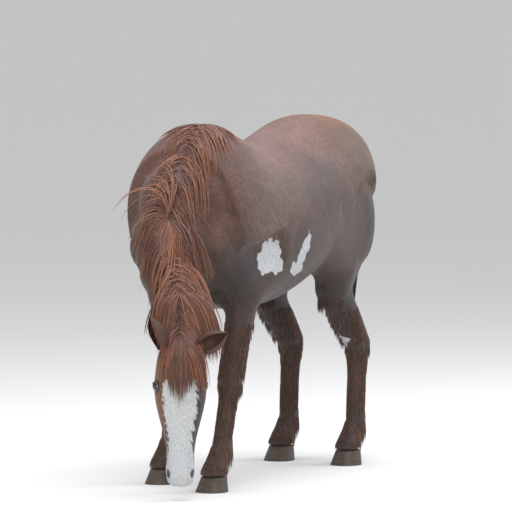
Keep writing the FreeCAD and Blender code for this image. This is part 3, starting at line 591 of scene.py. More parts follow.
    def swell(self, mesh: bpy.types.Mesh, distance: float) -> None:
        """Moves every point along its normal."""
        count = len(mesh.vertices)
        place, normal = np.zeros(count * 3), np.zeros(count * 3)
        mesh.vertices.foreach_get("co", place)
        mesh.vertices.foreach_get("normal", normal)
        mesh.vertices.foreach_set("co", place + normal * distance)
        mesh.update()

    def keep_largest(self, mesh: bpy.types.Mesh) -> None:
        """Drops the shells round the hollows inside and keeps the outer skin."""
        bm = as_bmesh(mesh)
        bm.verts.ensure_lookup_table()
        seen, best = set(), []
        for first in bm.verts:
            if first in seen:
                continue
            group, queue = [], [first]
            seen.add(first)
            while queue:
                here = queue.pop()
                group.append(here)
                for edge in here.link_edges:
                    other = edge.other_vert(here)
                    if other not in seen:
                        seen.add(other)
                        queue.append(other)
            if len(group) > len(best):
                best = group
        keep = set(best)
        bmesh.ops.delete(bm, geom=[v for v in bm.verts if v not in keep], context="VERTS")
        bm.to_mesh(mesh)
        bm.free()
        mesh.update()

    def paint(self) -> None:
        """Lays the coat's tone, which carries painted highlight above and painted shade below, and its white marks
        on the hide's points.
        """
        mesh = self.mesh
        count = len(mesh.vertices)
        flat, lean = np.zeros(count * 3), np.zeros(count * 3)
        mesh.vertices.foreach_get("co", flat)
        mesh.vertices.foreach_get("normal", lean)
        place = flat.reshape(-1, 3)
        # the coat colour of each point, painted highlight and painted shade included
        tone = PAINT.tones(place)
        layer = mesh.attributes.new("tone", "FLOAT_COLOR", "POINT")
        layer.data.foreach_set("color", np.column_stack([tone, np.ones(count)]).ravel().astype(np.float32))
        white = mesh.attributes.new("white", "FLOAT", "POINT")
        white.data.foreach_set("value", PAINT.whites(place).astype(np.float32))
        keep = mesh.attributes.new("rest_normal", "FLOAT_VECTOR", "POINT")
        keep.data.foreach_set("vector", lean.astype(np.float32))
        self.tree = BVHTree.FromObject(self.as_object(), bpy.context.evaluated_depsgraph_get())
        bpy.data.objects.remove(bpy.data.objects["hide_rest"])

    def as_object(self) -> bpy.types.Object:
        """A short-lived object round the hide's mesh."""
        made = place_object("hide_rest", self.mesh)
        bpy.context.view_layer.update()
        return made

    def cut(self) -> dict[str, bmesh.types.BMesh]:
        """Cuts the hide along every region's walls.

        Returns:
            One closed bmesh by piece name, the barrel's among them.
        """
        whole = as_bmesh(self.mesh)
        label = whole.faces.layers.int.new("piece")
        for number, region in enumerate(self.regions, 1):
            for index, (point, normal) in enumerate(region.walls):
                others = [w for k, w in enumerate(region.walls) if k != index]
                near = [f for f in whole.faces
                        if f[label] == 0 and self.inside(f, others, -self.seam_margin)]
                near = [f for f in near
                        if abs((f.calc_center_median() - point).dot(normal)) < self.seam_reach]
                edges = list(dict.fromkeys(e for f in near for e in f.edges))
                verts = list(dict.fromkeys(v for f in near for v in f.verts))
                bmesh.ops.bisect_plane(whole, geom=near + edges + verts, dist=1e-5, plane_co=point,
                                       plane_no=normal)
            for face in whole.faces:
                if face[label] == 0 and self.inside(face, region.walls, 0.0):
                    face[label] = number
        self.drop_strays(whole, label)
        made = {}
        names = ["barrel", *[r.name for r in self.regions]]
        for number, name in enumerate(names):
            part = whole.copy()
            key = part.faces.layers.int["piece"]
            bmesh.ops.delete(part, geom=[f for f in part.faces if f[key] != number], context="FACES")
            rim = [e for e in part.edges if e.is_boundary]
            caps = bmesh.ops.holes_fill(part, edges=rim, sides=0)["faces"]
            bmesh.ops.triangulate(part, faces=caps)
            made[name] = part
        whole.free()
        return made

    def inside(self, face: bmesh.types.BMFace, walls: list, margin: float) -> bool:
        """True if the face's middle lies on the inner side of every wall."""
        middle = face.calc_center_median()
        return all((middle - point).dot(normal) > margin for point, normal in walls)

    def drop_strays(self, whole: bmesh.types.BMesh, label: object) -> None:
        """Gives back to the barrel any patch of a region that isn't joined to its main part."""
        for number in range(1, len(self.regions) + 1):
            left = {f for f in whole.faces if f[label] == number}
            groups = []
            while left:
                queue, group = [left.pop()], []
                while queue:
                    here = queue.pop()
                    group.append(here)
                    for edge in here.edges:
                        for other in edge.link_faces:
                            if other in left:
                                left.discard(other)
                                queue.append(other)
                groups.append(group)
            for group in sorted(groups, key=len)[:-1]:
                for face in group:
                    face[label] = 0


@dataclass(frozen=True)
class Paint:
    """Where the coat is which colour, with painted highlight on the upper body and painted shade below it, and
    where it is white.
    """

    sharpness: float = 3.2
    softening: float = 0.03
    body_end: float = 0.6
    nostril_rim: float = 0.017
    # Spot by spot: the coat's own colours (chestnut body, warmer on the croup, dark legs) mixed with painted
    # light. The lighter grey-mauve tops are a painted highlight of light from above. Painted shade darkens the
    # lower flanks, under the belly, behind the elbow, under the haunch and the near side of the head.
    anchors: tuple = (
        ((-0.72, 0.00, 1.52), "#8a5a36"),
        ((-0.94, 0.00, 1.20), "#543b2f"),
        ((-0.60, 0.25, 1.38), "#5a4335"),
        ((-0.75, 0.28, 1.05), "#2a201a"),
        ((-0.30, 0.05, 1.50), "#74564d"),
        ((-0.20, 0.30, 1.20), "#473733"),
        ((0.00, 0.30, 0.90), "#352c26"),
        ((-0.10, 0.10, 0.73), "#120c08"),
        ((0.15, 0.10, 1.48), "#7a584f"),
        ((0.30, 0.28, 1.15), "#5c4840"),
        ((0.45, 0.26, 0.90), "#1e1612"),
        ((0.50, 0.05, 1.42), "#59382e"),
        ((0.62, 0.20, 1.15), "#503427"),
        ((0.80, 0.18, 0.95), "#352019"),
        ((0.90, 0.20, 0.72), "#2c1a16"),
        ((0.70, 0.00, 0.90), "#34201a"),
        ((0.97, 0.10, 0.45), "#6a452a"),
        ((0.88, 0.30, 0.42), "#21170f"),
        ((0.93, 0.21, 0.10), "#3c322f"),
        ((0.45, 0.17, 0.60), "#331f15"),
        ((0.48, 0.17, 0.25), "#3a2418"),
        ((-0.60, 0.20, 0.70), "#1b110b"),
        ((-0.75, 0.17, 0.35), "#38241a"),
        ((-0.74, 0.17, 0.15), "#2e1d14"),
    )

    def tones(self, place: np.ndarray) -> np.ndarray:
        """Blends the spots' colours by distance, the same on both sides of the body: the coat's own colours, with
        painted highlight on top and painted shade below.

        Args:
            place: points, n by 3.
        Returns:
            Linear colours, n by 3.
        """
        total, weight = np.zeros((len(place), 3)), np.zeros(len(place))
        for spot, colour in self.anchors:
            for out in self.sides(spot):
                gap = np.linalg.norm(place - np.array([spot[0], out, spot[2]]), axis=1)
                share = 1 / (gap + self.softening) ** self.sharpness
                total += share[:, None] * np.array(linear(colour)[:3])
                weight += share
        return total / weight[:, None]

    def sides(self, spot: tuple) -> list[float]:
        """The anchor's place across: mirrored on the body, single on the neck and head."""
        own = spot[1] + MID
        mirrored = spot[0] < self.body_end and spot[1] > 0.01
        return [own, 2 * MID - own] if mirrored else [own]

    def whites(self, place: np.ndarray) -> np.ndarray:
        """A value over a half inside a white mark, under it outside."""
        best = np.full(len(place), -1.0)
        rel = place - np.array(joint_at("head_turn"))
        along = rel @ np.array(HEAD.down)
        side = np.abs(rel @ np.array(HEAD.across))
        ahead = rel @ np.array(HEAD.front)
        width = np.interp(along, [0.06, 0.14, 0.24, 0.34, 0.42, 0.5, 0.56],
                          [0.02, 0.07, 0.07, 0.05, 0.05, 0.065, 0.07])
        blaze = 0.5 + (width - side) / 0.05
        blaze = np.where((along > 0.04) & (ahead > 0.0), blaze, -1.0)
        best = np.maximum(best, blaze)
        for nostril_side in Side:
            gap = np.linalg.norm(place - np.array(HEAD.nostril(nostril_side)), axis=1)
            best = np.where(gap < self.nostril_rim, -1.0, best)
        for centre, radii, turn in self.patches():
            rel = place - np.array([centre[0], MID + centre[1], centre[2]])
            c, s = math.cos(turn), math.sin(turn)
            u = (rel[:, 0] * c + rel[:, 2] * s) / radii[0]
            v = (-rel[:, 0] * s + rel[:, 2] * c) / radii[2]
            w = rel[:, 1] / radii[1]
            ragged = np.sin(place[:, 0] * 105 + place[:, 2] * 60) * np.sin(place[:, 2] * 90 - place[:, 0] * 40)
            best = np.maximum(best, 0.5 + (1 - np.sqrt(u * u + v * v + w * w) + 0.2 * ragged) * 1.6)
        return np.clip(best, -1, 2)

    def patches(self) -> list[tuple]:
        """The white marks on the near side: two on the belly and one down the hock."""
        return [
            ((0.27, 0.30, 0.965), (0.085, 0.2, 0.06), math.radians(-38)),
            ((0.24, 0.30, 0.935), (0.06, 0.2, 0.04), math.radians(20)),
            ((0.03, 0.30, 0.975), (0.035, 0.2, 0.085), math.radians(28)),
            ((0.06, 0.30, 0.905), (0.055, 0.2, 0.032), math.radians(10)),
            ((-0.64, 0.13, 0.555), (0.035, 0.06, 0.075), math.radians(10)),
        ]


@dataclass(frozen=True)
class HeadFrame:
    """The head's own directions: down the face, across it and out of the forehead."""

    pitch: float = math.radians(-88)
    nostril_place: tuple = (0.505, 0.05, 0.022)

    @property
    def down(self) -> Vector:
        """From the poll towards the lips."""
        return self.ahead * math.cos(self.pitch) + UP * math.sin(self.pitch)

    @property
    def across(self) -> Vector:
        """Towards the near side of the face."""
        return -joint_axis("head_nod")

    @property
    def ahead(self) -> Vector:
        """The level direction that the forehead looks in."""
        side = self.across
        return Vector((side.y, -side.x, 0)).normalized()

    @property
    def front(self) -> Vector:
        """Out of the forehead, square to the face."""
        return self.down.cross(self.across).normalized()

    def point(self, along: float, out: float, lift: float) -> Vector:
        """A place on the head by its distance down the face, to the near side and forwards."""
        return joint_at("head_turn") + self.down * along + self.across * out + self.front * lift

    def nostril(self, side: Side) -> Vector:
        """The middle of one nostril."""
        along, out, lift = self.nostril_place
        return self.point(along, side.value * out, lift)


PAINT = Paint()
HEAD = HeadFrame()


def midway(a: str, b: str, share: float = 0.5) -> Vector:
    """A point between two joints."""
    return joint_at(a).lerp(joint_at(b), share)


def between(a: str, b: str) -> Vector:
    """The direction from one joint to another."""
    return (joint_at(b) - joint_at(a)).normalized()


@dataclass
class Plan:
    """The seams of the hide: each region ends partway along the bones on either side of its joint."""

    leg_top: float = 0.712
    reach: float = 0.05

    def neck(self) -> list[Region]:
        """Brisket, neck base, mid neck, poll and head."""
        poll = joint_at("head_turn")
        one = (Vector((0.585, MID, 1.1)), Vector((1, 0, 0)))
        two = (Vector((0.70, MID, 1.15)), Vector((0.985, 0, -0.17)).normalized())
        three = (Vector((0.80, MID + 0.06, 0.95)), Vector((0.87, 0.1, -0.48)).normalized())
        lie = between("neck_bend", "head_turn")
        four = (poll - lie * 0.14, lie)
        turned = (lie * 0.45 + HEAD.down * 0.55).normalized()
        five = (poll - turned * 0.045, turned)
        above = (Vector((0.6, 0, 0.71)), UP)
        return [
            Region("brisket", "trunk", "neck_root", [one, above, self.back(two)], one[0],
                   one[0] + one[1] * 0.05, ("neck_root",)),
            Region("neck_base", "neck_root", "lower_neck", [two, self.back(three)], two[0],
                   two[0] + two[1] * 0.09, ("lower_neck",)),
            Region("neck_middle", "lower_neck", "upper_neck", [three, self.back(four)], three[0],
                   three[0] + three[1] * 0.1, ("upper_neck",)),
            Region("poll_skin", "upper_neck", "atlas", [four, self.back(five)], four[0],
                   four[0] + lie * 0.08, ("atlas",)),
            Region("head_skin", "atlas", "head", [five], five[0], five[0] + turned * 0.075, ("head",)),
        ]

    def back(self, wall: tuple[Vector, Vector]) -> tuple[Vector, Vector]:
        """The same wall, facing the other way."""
        return (wall[0], -wall[1])

    def lower_leg(self, leg: str, joints: list[str], bodies: list[str], top: tuple) -> list[Region]:
        """The regions below the top of a leg, one for each joint from the knee or stifle down.

        Args:
            leg: the leg's name.
            joints: its joints, from that one to the coffin joint.
            bodies: the bodies they join, one more than the joints.
            top: the wall that the first region starts at.
        Returns:
            The regions.
        """
        made, wall = [], top
        for index, joint in enumerate(joints):
            here = joint_at(f"{leg}_{joint}")
            last = index == len(joints) - 1
            line = between(f"{leg}_{joints[index - 1]}", f"{leg}_{joint}") if index else -UP
            after = line if last else between(f"{leg}_{joint}", f"{leg}_{joints[index + 1]}")
            walls = [wall, *self.room(leg)]
            spread = 0.022 if last or joint == "fetlock" else self.reach
            if last:
                end_wall = None
            else:
                middle = midway(f"{leg}_{joint}", f"{leg}_{joints[index + 1]}")
                end_wall = (middle, after)
                walls.append(self.back(end_wall))
            lie = (line + after).normalized()
            start, end = here - lie * spread, here + lie * spread
            if joint == "stifle":
                start, end = wall[0], wall[0] - UP * 0.08
            name = f"{leg}_{joint}_skin"
            parent, child = f"{leg}_{bodies[index]}", f"{leg}_{bodies[index + 1]}"
            made.append(Region(name, parent, child, walls, start, end, (parent,)))
            wall = end_wall
        return made

    def room(self, leg: str) -> list[tuple[Vector, Vector]]:
        """Walls that keep a leg's regions to its own corner of the body."""
        out = 1 if leg.startswith("near") else -1
        middle = (Vector((0, MID + out * 0.012, 0)), Vector((0, out, 0)))
        if leg.endswith("fore"):
            behind = (Vector((-0.1, 0, 0)), Vector((1, 0, 0)))
            ahead = (Vector((0.73, 0, 0)), Vector((-1, 0, 0)))
            return [middle, behind, ahead]
        return [middle, (Vector((-0.32, 0, 0)), Vector((-1, 0, 0)))]

    def fore(self, side: Side) -> list[Region]:
        """Forearm and knee, fetlock, and coronet."""
        leg = f"{side.word}_fore"
        top = (Vector((joint_at(f"{leg}_knee").x, 0, self.leg_top)), -UP)
        made = self.lower_leg(leg, ["knee", "fetlock", "coffin"],
                              ["forearm", "cannon", "pastern", "hoof"], top)
        made[0].replaces += (f"{leg}_upper_arm",)
        return made

    def hind(self, side: Side) -> list[Region]:
        """Haunch, stifle, hock, fetlock and coronet."""
        leg = f"{side.word}_hind"
        slope = Vector((-0.75, 0, -0.66)).normalized()
        hip = joint_at(f"{leg}_hip")
        split = (Vector((hip.x + 0.06, 0, hip.z - 0.085)), slope)
        stifle = joint_at(f"{leg}_stifle")
        low = (Vector((stifle.x - 0.05, stifle.y, 0.70)), -UP)
        out = side.value
        inner = (Vector((0, MID + out * 0.035, 0)), Vector((0, out, 0)))
        haunch = Region(f"{leg}_haunch", "trunk", f"{leg}_thigh", [split, inner, self.back(low)], split[0],
                        split[0] + slope * 0.085, (f"{leg}_thigh",))
        rest = self.lower_leg(leg, ["stifle", "hock", "fetlock", "coffin"],
                              ["thigh", "gaskin", "cannon", "pastern", "hoof"], low)
        return [haunch, *rest]

    def tail(self) -> list[Region]:
        """The skin of the dock."""
        here = joint_at("tail_lift")
        wall = (here + Vector((0, 0, -0.035)), -UP)
        behind = (here + Vector((0.045, 0, 0)), Vector((-1, 0, 0)))
        sides = [(Vector((0, MID + s * 0.034, 0)), Vector((0, -s, 0))) for s in (1, -1)]
        return [Region("dock_skin", "trunk", "dock", [wall, behind, *sides], wall[0],
                       wall[0] - UP * 0.04, ("dock",))]

    def all(self) -> list[Region]:
        """Every region, in the order that it is cut."""
        made = self.tail()
        for side in Side:
            made += self.fore(side) + self.hind(side)
        return made + self.neck()


def finish_piece(name: str, part: bmesh.types.BMesh, region: Region | None) -> bpy.types.Object:
    """Makes a cut bmesh a piece of the coat: the barrel rides on the trunk, every other piece is baked in place.

    Args:
        name: the piece's name.
        part: its closed bmesh.
        region: the piece's region, or None for the barrel.
    Returns:
        The object.
    """
    mesh = as_mesh(name, part)
    made = new_object(name, mesh, COAT)
    normals = np.zeros(len(mesh.vertices) * 3, np.float32)
    mesh.attributes["rest_normal"].data.foreach_get("vector", normals)
    mesh.normals_split_custom_set_from_vertices(normals.reshape(-1, 3).tolist())
    if region is None:
        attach(made, "trunk")
        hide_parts("trunk")
    else:
        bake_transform(made)
        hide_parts(*region.replaces)
    log.info("%s: %d points", name, len(mesh.vertices))
    return made


COAT = CoatFinish()


@dataclass
class Strand:
    """One lock's line: its points from root to tip, how thick it is and how light."""

    points: list[Vector]
    thick: float
    shade: float


def hair_mesh(name: str, strands: list[Strand]) -> bpy.types.Mesh:
    """Turns strands into one mesh of thin tapered tubes, with a shade that grows lighter towards each tip.

    Args:
        name: the mesh's name.
        strands: the strands, all with the same number of points.
    Returns:
        The mesh.
    """
    curve = bpy.data.curves.new(name, "CURVE")
    curve.dimensions = "3D"
    curve.bevel_depth = 1.0
    curve.bevel_resolution = 0
    shades = []
    for strand in strands:
        line = curve.splines.new("POLY")
        count = len(strand.points)
        line.points.add(count - 1)
        for index, point in enumerate(strand.points):
            share = index / (count - 1)
            line.points[index].co = (*point, 1)
            line.points[index].radius = strand.thick * (1.0 - 0.86 * share ** 2.2)
            shades += [strand.shade * (0.75 + 0.35 * share)] * 4
    holder = place_object(name + "_curve", curve)
    graph = bpy.context.evaluated_depsgraph_get()
    mesh = bpy.data.meshes.new_from_object(holder.evaluated_get(graph))
    bpy.data.objects.remove(holder)
    layer = mesh.attributes.new("shade", "FLOAT", "POINT")
    layer.data.foreach_set("value", np.resize(np.array(shades, np.float32), len(mesh.vertices)))
    return mesh


@dataclass
class Hair:
    """Lays strands over the hide: each one leaves its root, bends down and rests on the skin."""

    hide: Hide
    seed: int = 7
    steps: int = 8

    def __post_init__(self) -> None:
        """Seeds the generator."""
        self.dice = random.Random(self.seed)

    def drape(self, root: Vector, first: Vector, length: float, lift: float, stiff: float = 0.72,
              pull: Vector = DOWN) -> list[Vector]:
        """The line of one strand.

        Args:
            root: where it grows from.
            first: the direction that it leaves in.
            length: its whole length.
            lift: how far it lies off the skin.
            stiff: how slowly it turns to hang.
            pull: the direction that it hangs in.
        Returns:
            Its points, root first.
        """
        points, here, heading = [root], root.copy(), first.normalized()
        step = length / (self.steps - 1)
        for _ in range(self.steps - 1):
            heading = (heading * stiff + pull * (1 - stiff)).normalized()
            here = here + heading * step
            found, normal, _, gap = self.hide.tree.find_nearest(here)
            if found is not None:
                depth = (here - found).dot(normal)
                if depth < lift:
                    here = found + normal * lift
            points.append(here.copy())
        return points


@dataclass
class Mane(Hair):
    """The mane falls to both sides of the crest, in thick wavy locks."""

    count: int = 2300
    length: float = 0.27
    half_width: float = 0.03

    def crest(self) -> list[Vector]:
        """The crest's points from withers to poll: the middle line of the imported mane, laid on the hide."""
        root, middle, poll = joint_at("neck_swing"), joint_at("neck_bend"), joint_at("head_turn")
        made = [Vector((0.30, MID, root.z + 0.5)), Vector((0.42, MID, root.z + 0.4))]
        for node, start, end, shares in (("lower_mane", root, middle, (0.15, 0.5, 0.85)),
                                         ("upper_mane", middle, poll, (0.12, 0.4, 0.7, 0.95))):
            points = [v.co for v in frame["nodes"][node].data.vertices]
            line = end - start
            places = [(p - start).dot(line) / line.length_squared for p in points]
            low, high = min(places), max(places)
            for share in shares:
                here = low + (high - low) * share
                close = [p for p, t in zip(points, places) if abs(t - here) < (high - low) * 0.12]
                if close:
                    made.append(sum(close, Vector()) / len(close))
        made.append(HEAD.point(-0.03, 0, 0.08))
        return [self.hide.tree.find_nearest(p)[0] for p in made]

    def along(self, line: list[Vector], share: float) -> Vector:
        """A smooth point on a line of points."""
        place = share * (len(line) - 1)
        index = min(int(place), len(line) - 2)
        part = place - index
        a, b = line[max(index - 1, 0)], line[index]
        c, d = line[index + 1], line[min(index + 2, len(line) - 1)]
        return 0.5 * ((2 * b) + (c - a) * part + (2 * a - 5 * b + 4 * c - d) * part ** 2
                      + (3 * b - a - 3 * c + d) * part ** 3)

    def strands(self, low: float, high: float, count: int) -> list[Strand]:
        """Strands whose roots lie between two shares of the crest."""
        line = self.crest()
        made = []
        for _ in range(count):
            share = self.dice.uniform(low, high)
            here = self.along(line, share)
            before, after = self.along(line, max(share - 0.02, 0)), self.along(line, min(share + 0.02, 1))
            ahead = (after - before).normalized()
            found, normal, _, _ = self.hide.tree.find_nearest(here)
            across = ahead.cross(normal).normalized()
            if across.y < 0:
                across = -across
            lock = round(share * 34)
            bias = noise.noise(Vector((lock * 7.3, 1.7, 0)))
            side = 1 if self.dice.random() < 0.62 + 0.25 * bias else -1
            spread = across * (side * self.dice.uniform(-0.3, 1.0) * self.half_width)
            root = found + spread
            wave = noise.noise(Vector((share * 30, side * 9.1, 0.5))) * 0.55
            first = across * side * self.dice.uniform(0.75, 1.15) + normal * 0.5 + ahead * (0.25 + wave)
            length = self.length * self.dice.uniform(0.55, 1.2) * (0.8 + 0.3 * math.sin(math.pi * share))
            length *= 1.0 if side > 0 else 0.72
            lift = self.dice.uniform(0.003, 0.014)
            pull = (DOWN + ahead * 0.25).normalized()
            shade = 0.35 + 0.4 * self.dice.random() + 0.35 * bias
            made.append(Strand(self.drape(root, first, length, lift, 0.66, pull),
                               self.dice.uniform(0.0016, 0.0034), shade))
        return made

    def build(self) -> None:
        """The withers' hair, the mane of both halves of the neck, and the poll's."""
        parts = [
            ("mane_withers", "trunk", 0.0, 0.22, 0.2, ()),
            ("mane_base", "lower_neck", 0.22, 0.54, 0.32, ("lower_mane",)),
            ("mane_neck", "upper_neck", 0.54, 0.95, 0.42, ("upper_mane",)),
            ("mane_poll", "head", 0.95, 1.0, 0.12, ()),
        ]
        for name, body, low, high, share, gone in parts:
            mesh = hair_mesh(name, self.strands(low, high, int(self.count * share)))
            made = new_object(name, mesh, MANE_HAIR)
            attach(made, body)
            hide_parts(*gone)
            log.info("%s: %d strands", name, int(self.count * share))


@dataclass
class Forelock(Hair):
    """The forelock hangs from the poll down the middle of the face."""

    count: int = 620
    length: float = 0.2

    def build(self) -> None:
        """Strands that start between the ears and narrow to a ragged point."""
        made = []
        for _ in range(self.count):
            side = self.dice.uniform(-1, 1)
            root = HEAD.point(self.dice.uniform(-0.075, 0.02), side * 0.036, 0.07)
            found, normal, _, _ = self.hide.tree.find_nearest(root)
            length = self.length * self.dice.uniform(0.5, 1.15) * (1.12 - 0.5 * abs(side))
            first = normal * 0.9 + HEAD.across * side * 0.22 + HEAD.down * 0.3
            lift = self.dice.uniform(0.003, 0.016)
            made.append(Strand(self.drape(found, first, length, lift, 0.5, HEAD.down),
                               self.dice.uniform(0.0014, 0.003), 0.25 + 0.55 * self.dice.random()))
        piece = new_object("forelock_hair", hair_mesh("forelock_hair", made), FORELOCK_HAIR)
        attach(piece, "head")
        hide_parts("forelock")


@dataclass
class Tail(Hair):
    """The tail's long hair, full in the middle and pointed at the end."""

    count: int = 900
    length: float = 0.7

    def build(self) -> None:
        """Strands that leave all round the dock and hang with gravity."""
        low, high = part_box("tail_hair")
        top = joint_at("tail_lift")
        end = joint_at("tail_swing")
        reach = (high - low) / 2
        made = []
        for _ in range(self.count):
            share = self.dice.random() ** 0.7
            turn = self.dice.uniform(0, 2 * math.pi)
            root = top.lerp(end, 0.1 + 0.9 * share)
            ring = Vector((math.cos(turn), math.sin(turn), 0))
            points = []
            tip = Vector(((low.x + high.x) / 2, MID, low.z + self.dice.uniform(0.0, 0.22)))
            wide = self.dice.uniform(0.35, 1.0)
            for index in range(self.steps):
                part = index / (self.steps - 1)
                spread = math.sin(math.pi * min(part * 1.15 + 0.12, 1.0)) ** 0.8
                centre = root.lerp(tip, part)
                centre.x = root.x + (tip.x - root.x) * part ** 0.7
                out = Vector((ring.x * reach.x * 0.62, ring.y * reach.y * 0.85, 0))
                points.append(centre + out * spread * wide)
            made.append(Strand(points, self.dice.uniform(0.0018, 0.0034), 0.15 + 0.6 * self.dice.random()))
        piece = new_object("tail_long_hair", hair_mesh("tail_long_hair", made), TAIL_HAIR)
        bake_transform(piece)
        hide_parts("tail_hair")


@dataclass
class Feather(Hair):
    """Shaggy hair on the legs: long behind the fetlock, short and rough above it."""

    steps: int = 5
    sunk: float = 0.002
    thin: float = 0.0009
    thick: float = 0.0019

    def tuft(self, hit: Vector, normal: Vector, length: float, lift: float, dark: float,
             range_of_shade: float) -> Strand:
        """One hair that leaves the skin and lies down it.

        Args:
            hit: the place on the skin.
            normal: the skin's direction there.
            length: the hair's length.
            lift: how far it lies off the skin.
            dark: the darkest shade.
            range_of_shade: how much lighter it can be.
        Returns:
            The strand.
        """
        line = self.drape(hit - normal * self.sunk, normal * 0.3 + DOWN, length, lift, 0.5)
        thickness = self.dice.uniform(self.thin, self.thick)
        return Strand(line, thickness, dark + range_of_shade * self.dice.random())

    def dress(self, name: str, strands: list[Strand], body: str) -> None:
        """Makes the strands one piece of hair that rides on a body."""
        piece = new_object(name, hair_mesh(name, strands), FEATHER_HAIR)
        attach(piece, body)

    def leg(self, name: str, fore: bool) -> None:
        """The rough hair of one leg, split at its joints."""
        upper = f"{name}_knee" if fore else f"{name}_hock"
        top = joint_at(upper)
        fetlock, coffin = joint_at(f"{name}_fetlock"), joint_at(f"{name}_coffin")
        above = joint_at(f"{name}_elbow") if fore else joint_at(f"{name}_stifle")
        spans = [
            (f"{name}_forearm" if fore else f"{name}_gaskin", above.lerp(top, 0.35),
             top.lerp(above, 0.08), 700, 0.034),
            (f"{name}_cannon", top, fetlock.lerp(top, 0.12), 900, 0.034),
            (f"{name}_pastern", fetlock, fetlock.lerp(coffin, 0.8), 650, 0.05),
        ]
        for body, start, end, count, length in spans:
            made = []
            for _ in range(count):
                centre = start.lerp(end, self.dice.random())
                turn = self.dice.uniform(0, 2 * math.pi)
                out = Vector((math.cos(turn), math.sin(turn), 0))
                hit, normal, _, _ = self.hide.tree.find_nearest(centre + out * 0.05)
                if hit is None:
                    continue
                behind = 1.0 + 0.5 * max(0.0, -out.x)
                reach = length * behind * self.dice.uniform(0.6, 1.2)
                made.append(self.tuft(hit, normal, reach, 0.0015, 0.2, 0.6))
            self.dress(body + "_feather", made, body)

    def groin(self) -> None:
        """The long hair where each flank meets the thigh, darker than the legs' hair as painted shade of the
        groin.
        """
        for side in Side:
            made = []
            body = f"{side.word}_hind_thigh"
            for _ in range(260):
                spot = joint_at(f"{side.word}_hind_stifle") + Vector((
                    self.dice.uniform(0.0, 0.11), side.value * self.dice.uniform(-0.05, 0.05), -0.05))
                hit, normal, _, _ = self.hide.tree.find_nearest(spot)
                reach = 0.05 * self.dice.uniform(0.5, 1.2)
                # Shades 0.1 to 0.5, darker than the legs' 0.2 to 0.8: painted shade of the groin.
                made.append(self.tuft(hit, normal, reach, 0.001, 0.1, 0.4))
            self.dress(f"{side.word}_groin_hair", made, body)

    def build(self) -> None:
        """All four legs and both groins."""
        self.groin()
        for side in Side:
            self.leg(f"{side.word}_fore", True)
            self.leg(f"{side.word}_hind", False)


@dataclass
class Ear:
    """A pointed cupped ear: a rolled leaf with a thick rim and dark hair inside."""

    side: Side
    length: float = 0.15
    width: float = 0.03
    opening: float = math.radians(72)

    def build(self) -> None:
        """Rolls a grid round the ear's axis, narrows it to a tip and gives it a wall."""
        body = f"{self.side.word}_ear"
        root = joint_at(f"{body}_turn")
        axis = joint_axis(f"{body}_turn")
        face = Vector((0.8, 0.55 * self.side.value, 0.1))
        front = (face - axis * face.dot(axis)).normalized()
        across = axis.cross(front)
        bm = bmesh.new()
        bmesh.ops.create_grid(bm, x_segments=16, y_segments=14, size=1.0)
        for vert in bm.verts:
            turn = vert.co.x * (math.pi - self.opening / 2)
            share = (vert.co.y + 1) / 2
            wide = self.width * (0.55 + 0.9 * math.sin(math.pi * min(share * 0.8 + 0.1, 1))) * (1 - share ** 5)
            round_it = -front * math.cos(turn) * 0.75 + across * math.sin(turn)
            curl = front * (0.02 * share ** 2)
            vert.co = root + axis * (share * self.length) + round_it * max(wide, 0.001) + curl
        bmesh.ops.recalc_face_normals(bm, faces=bm.faces)
        bmesh.ops.solidify(bm, geom=bm.faces[:], thickness=0.004)
        made = new_object(body + "_leaf", as_mesh(body + "_leaf", bm), EAR_COAT)
        change = made.modifiers.new("round", "SUBSURF")
        change.levels = change.render_levels = 1
        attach(made, body)
        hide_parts(body)


# The ear's short dense hair is red-brown, mottled between two tones.
EAR_COAT = PlainFinish("ear_hair", "#2a1610", "#55301f", 5, 0.6, 0.5)


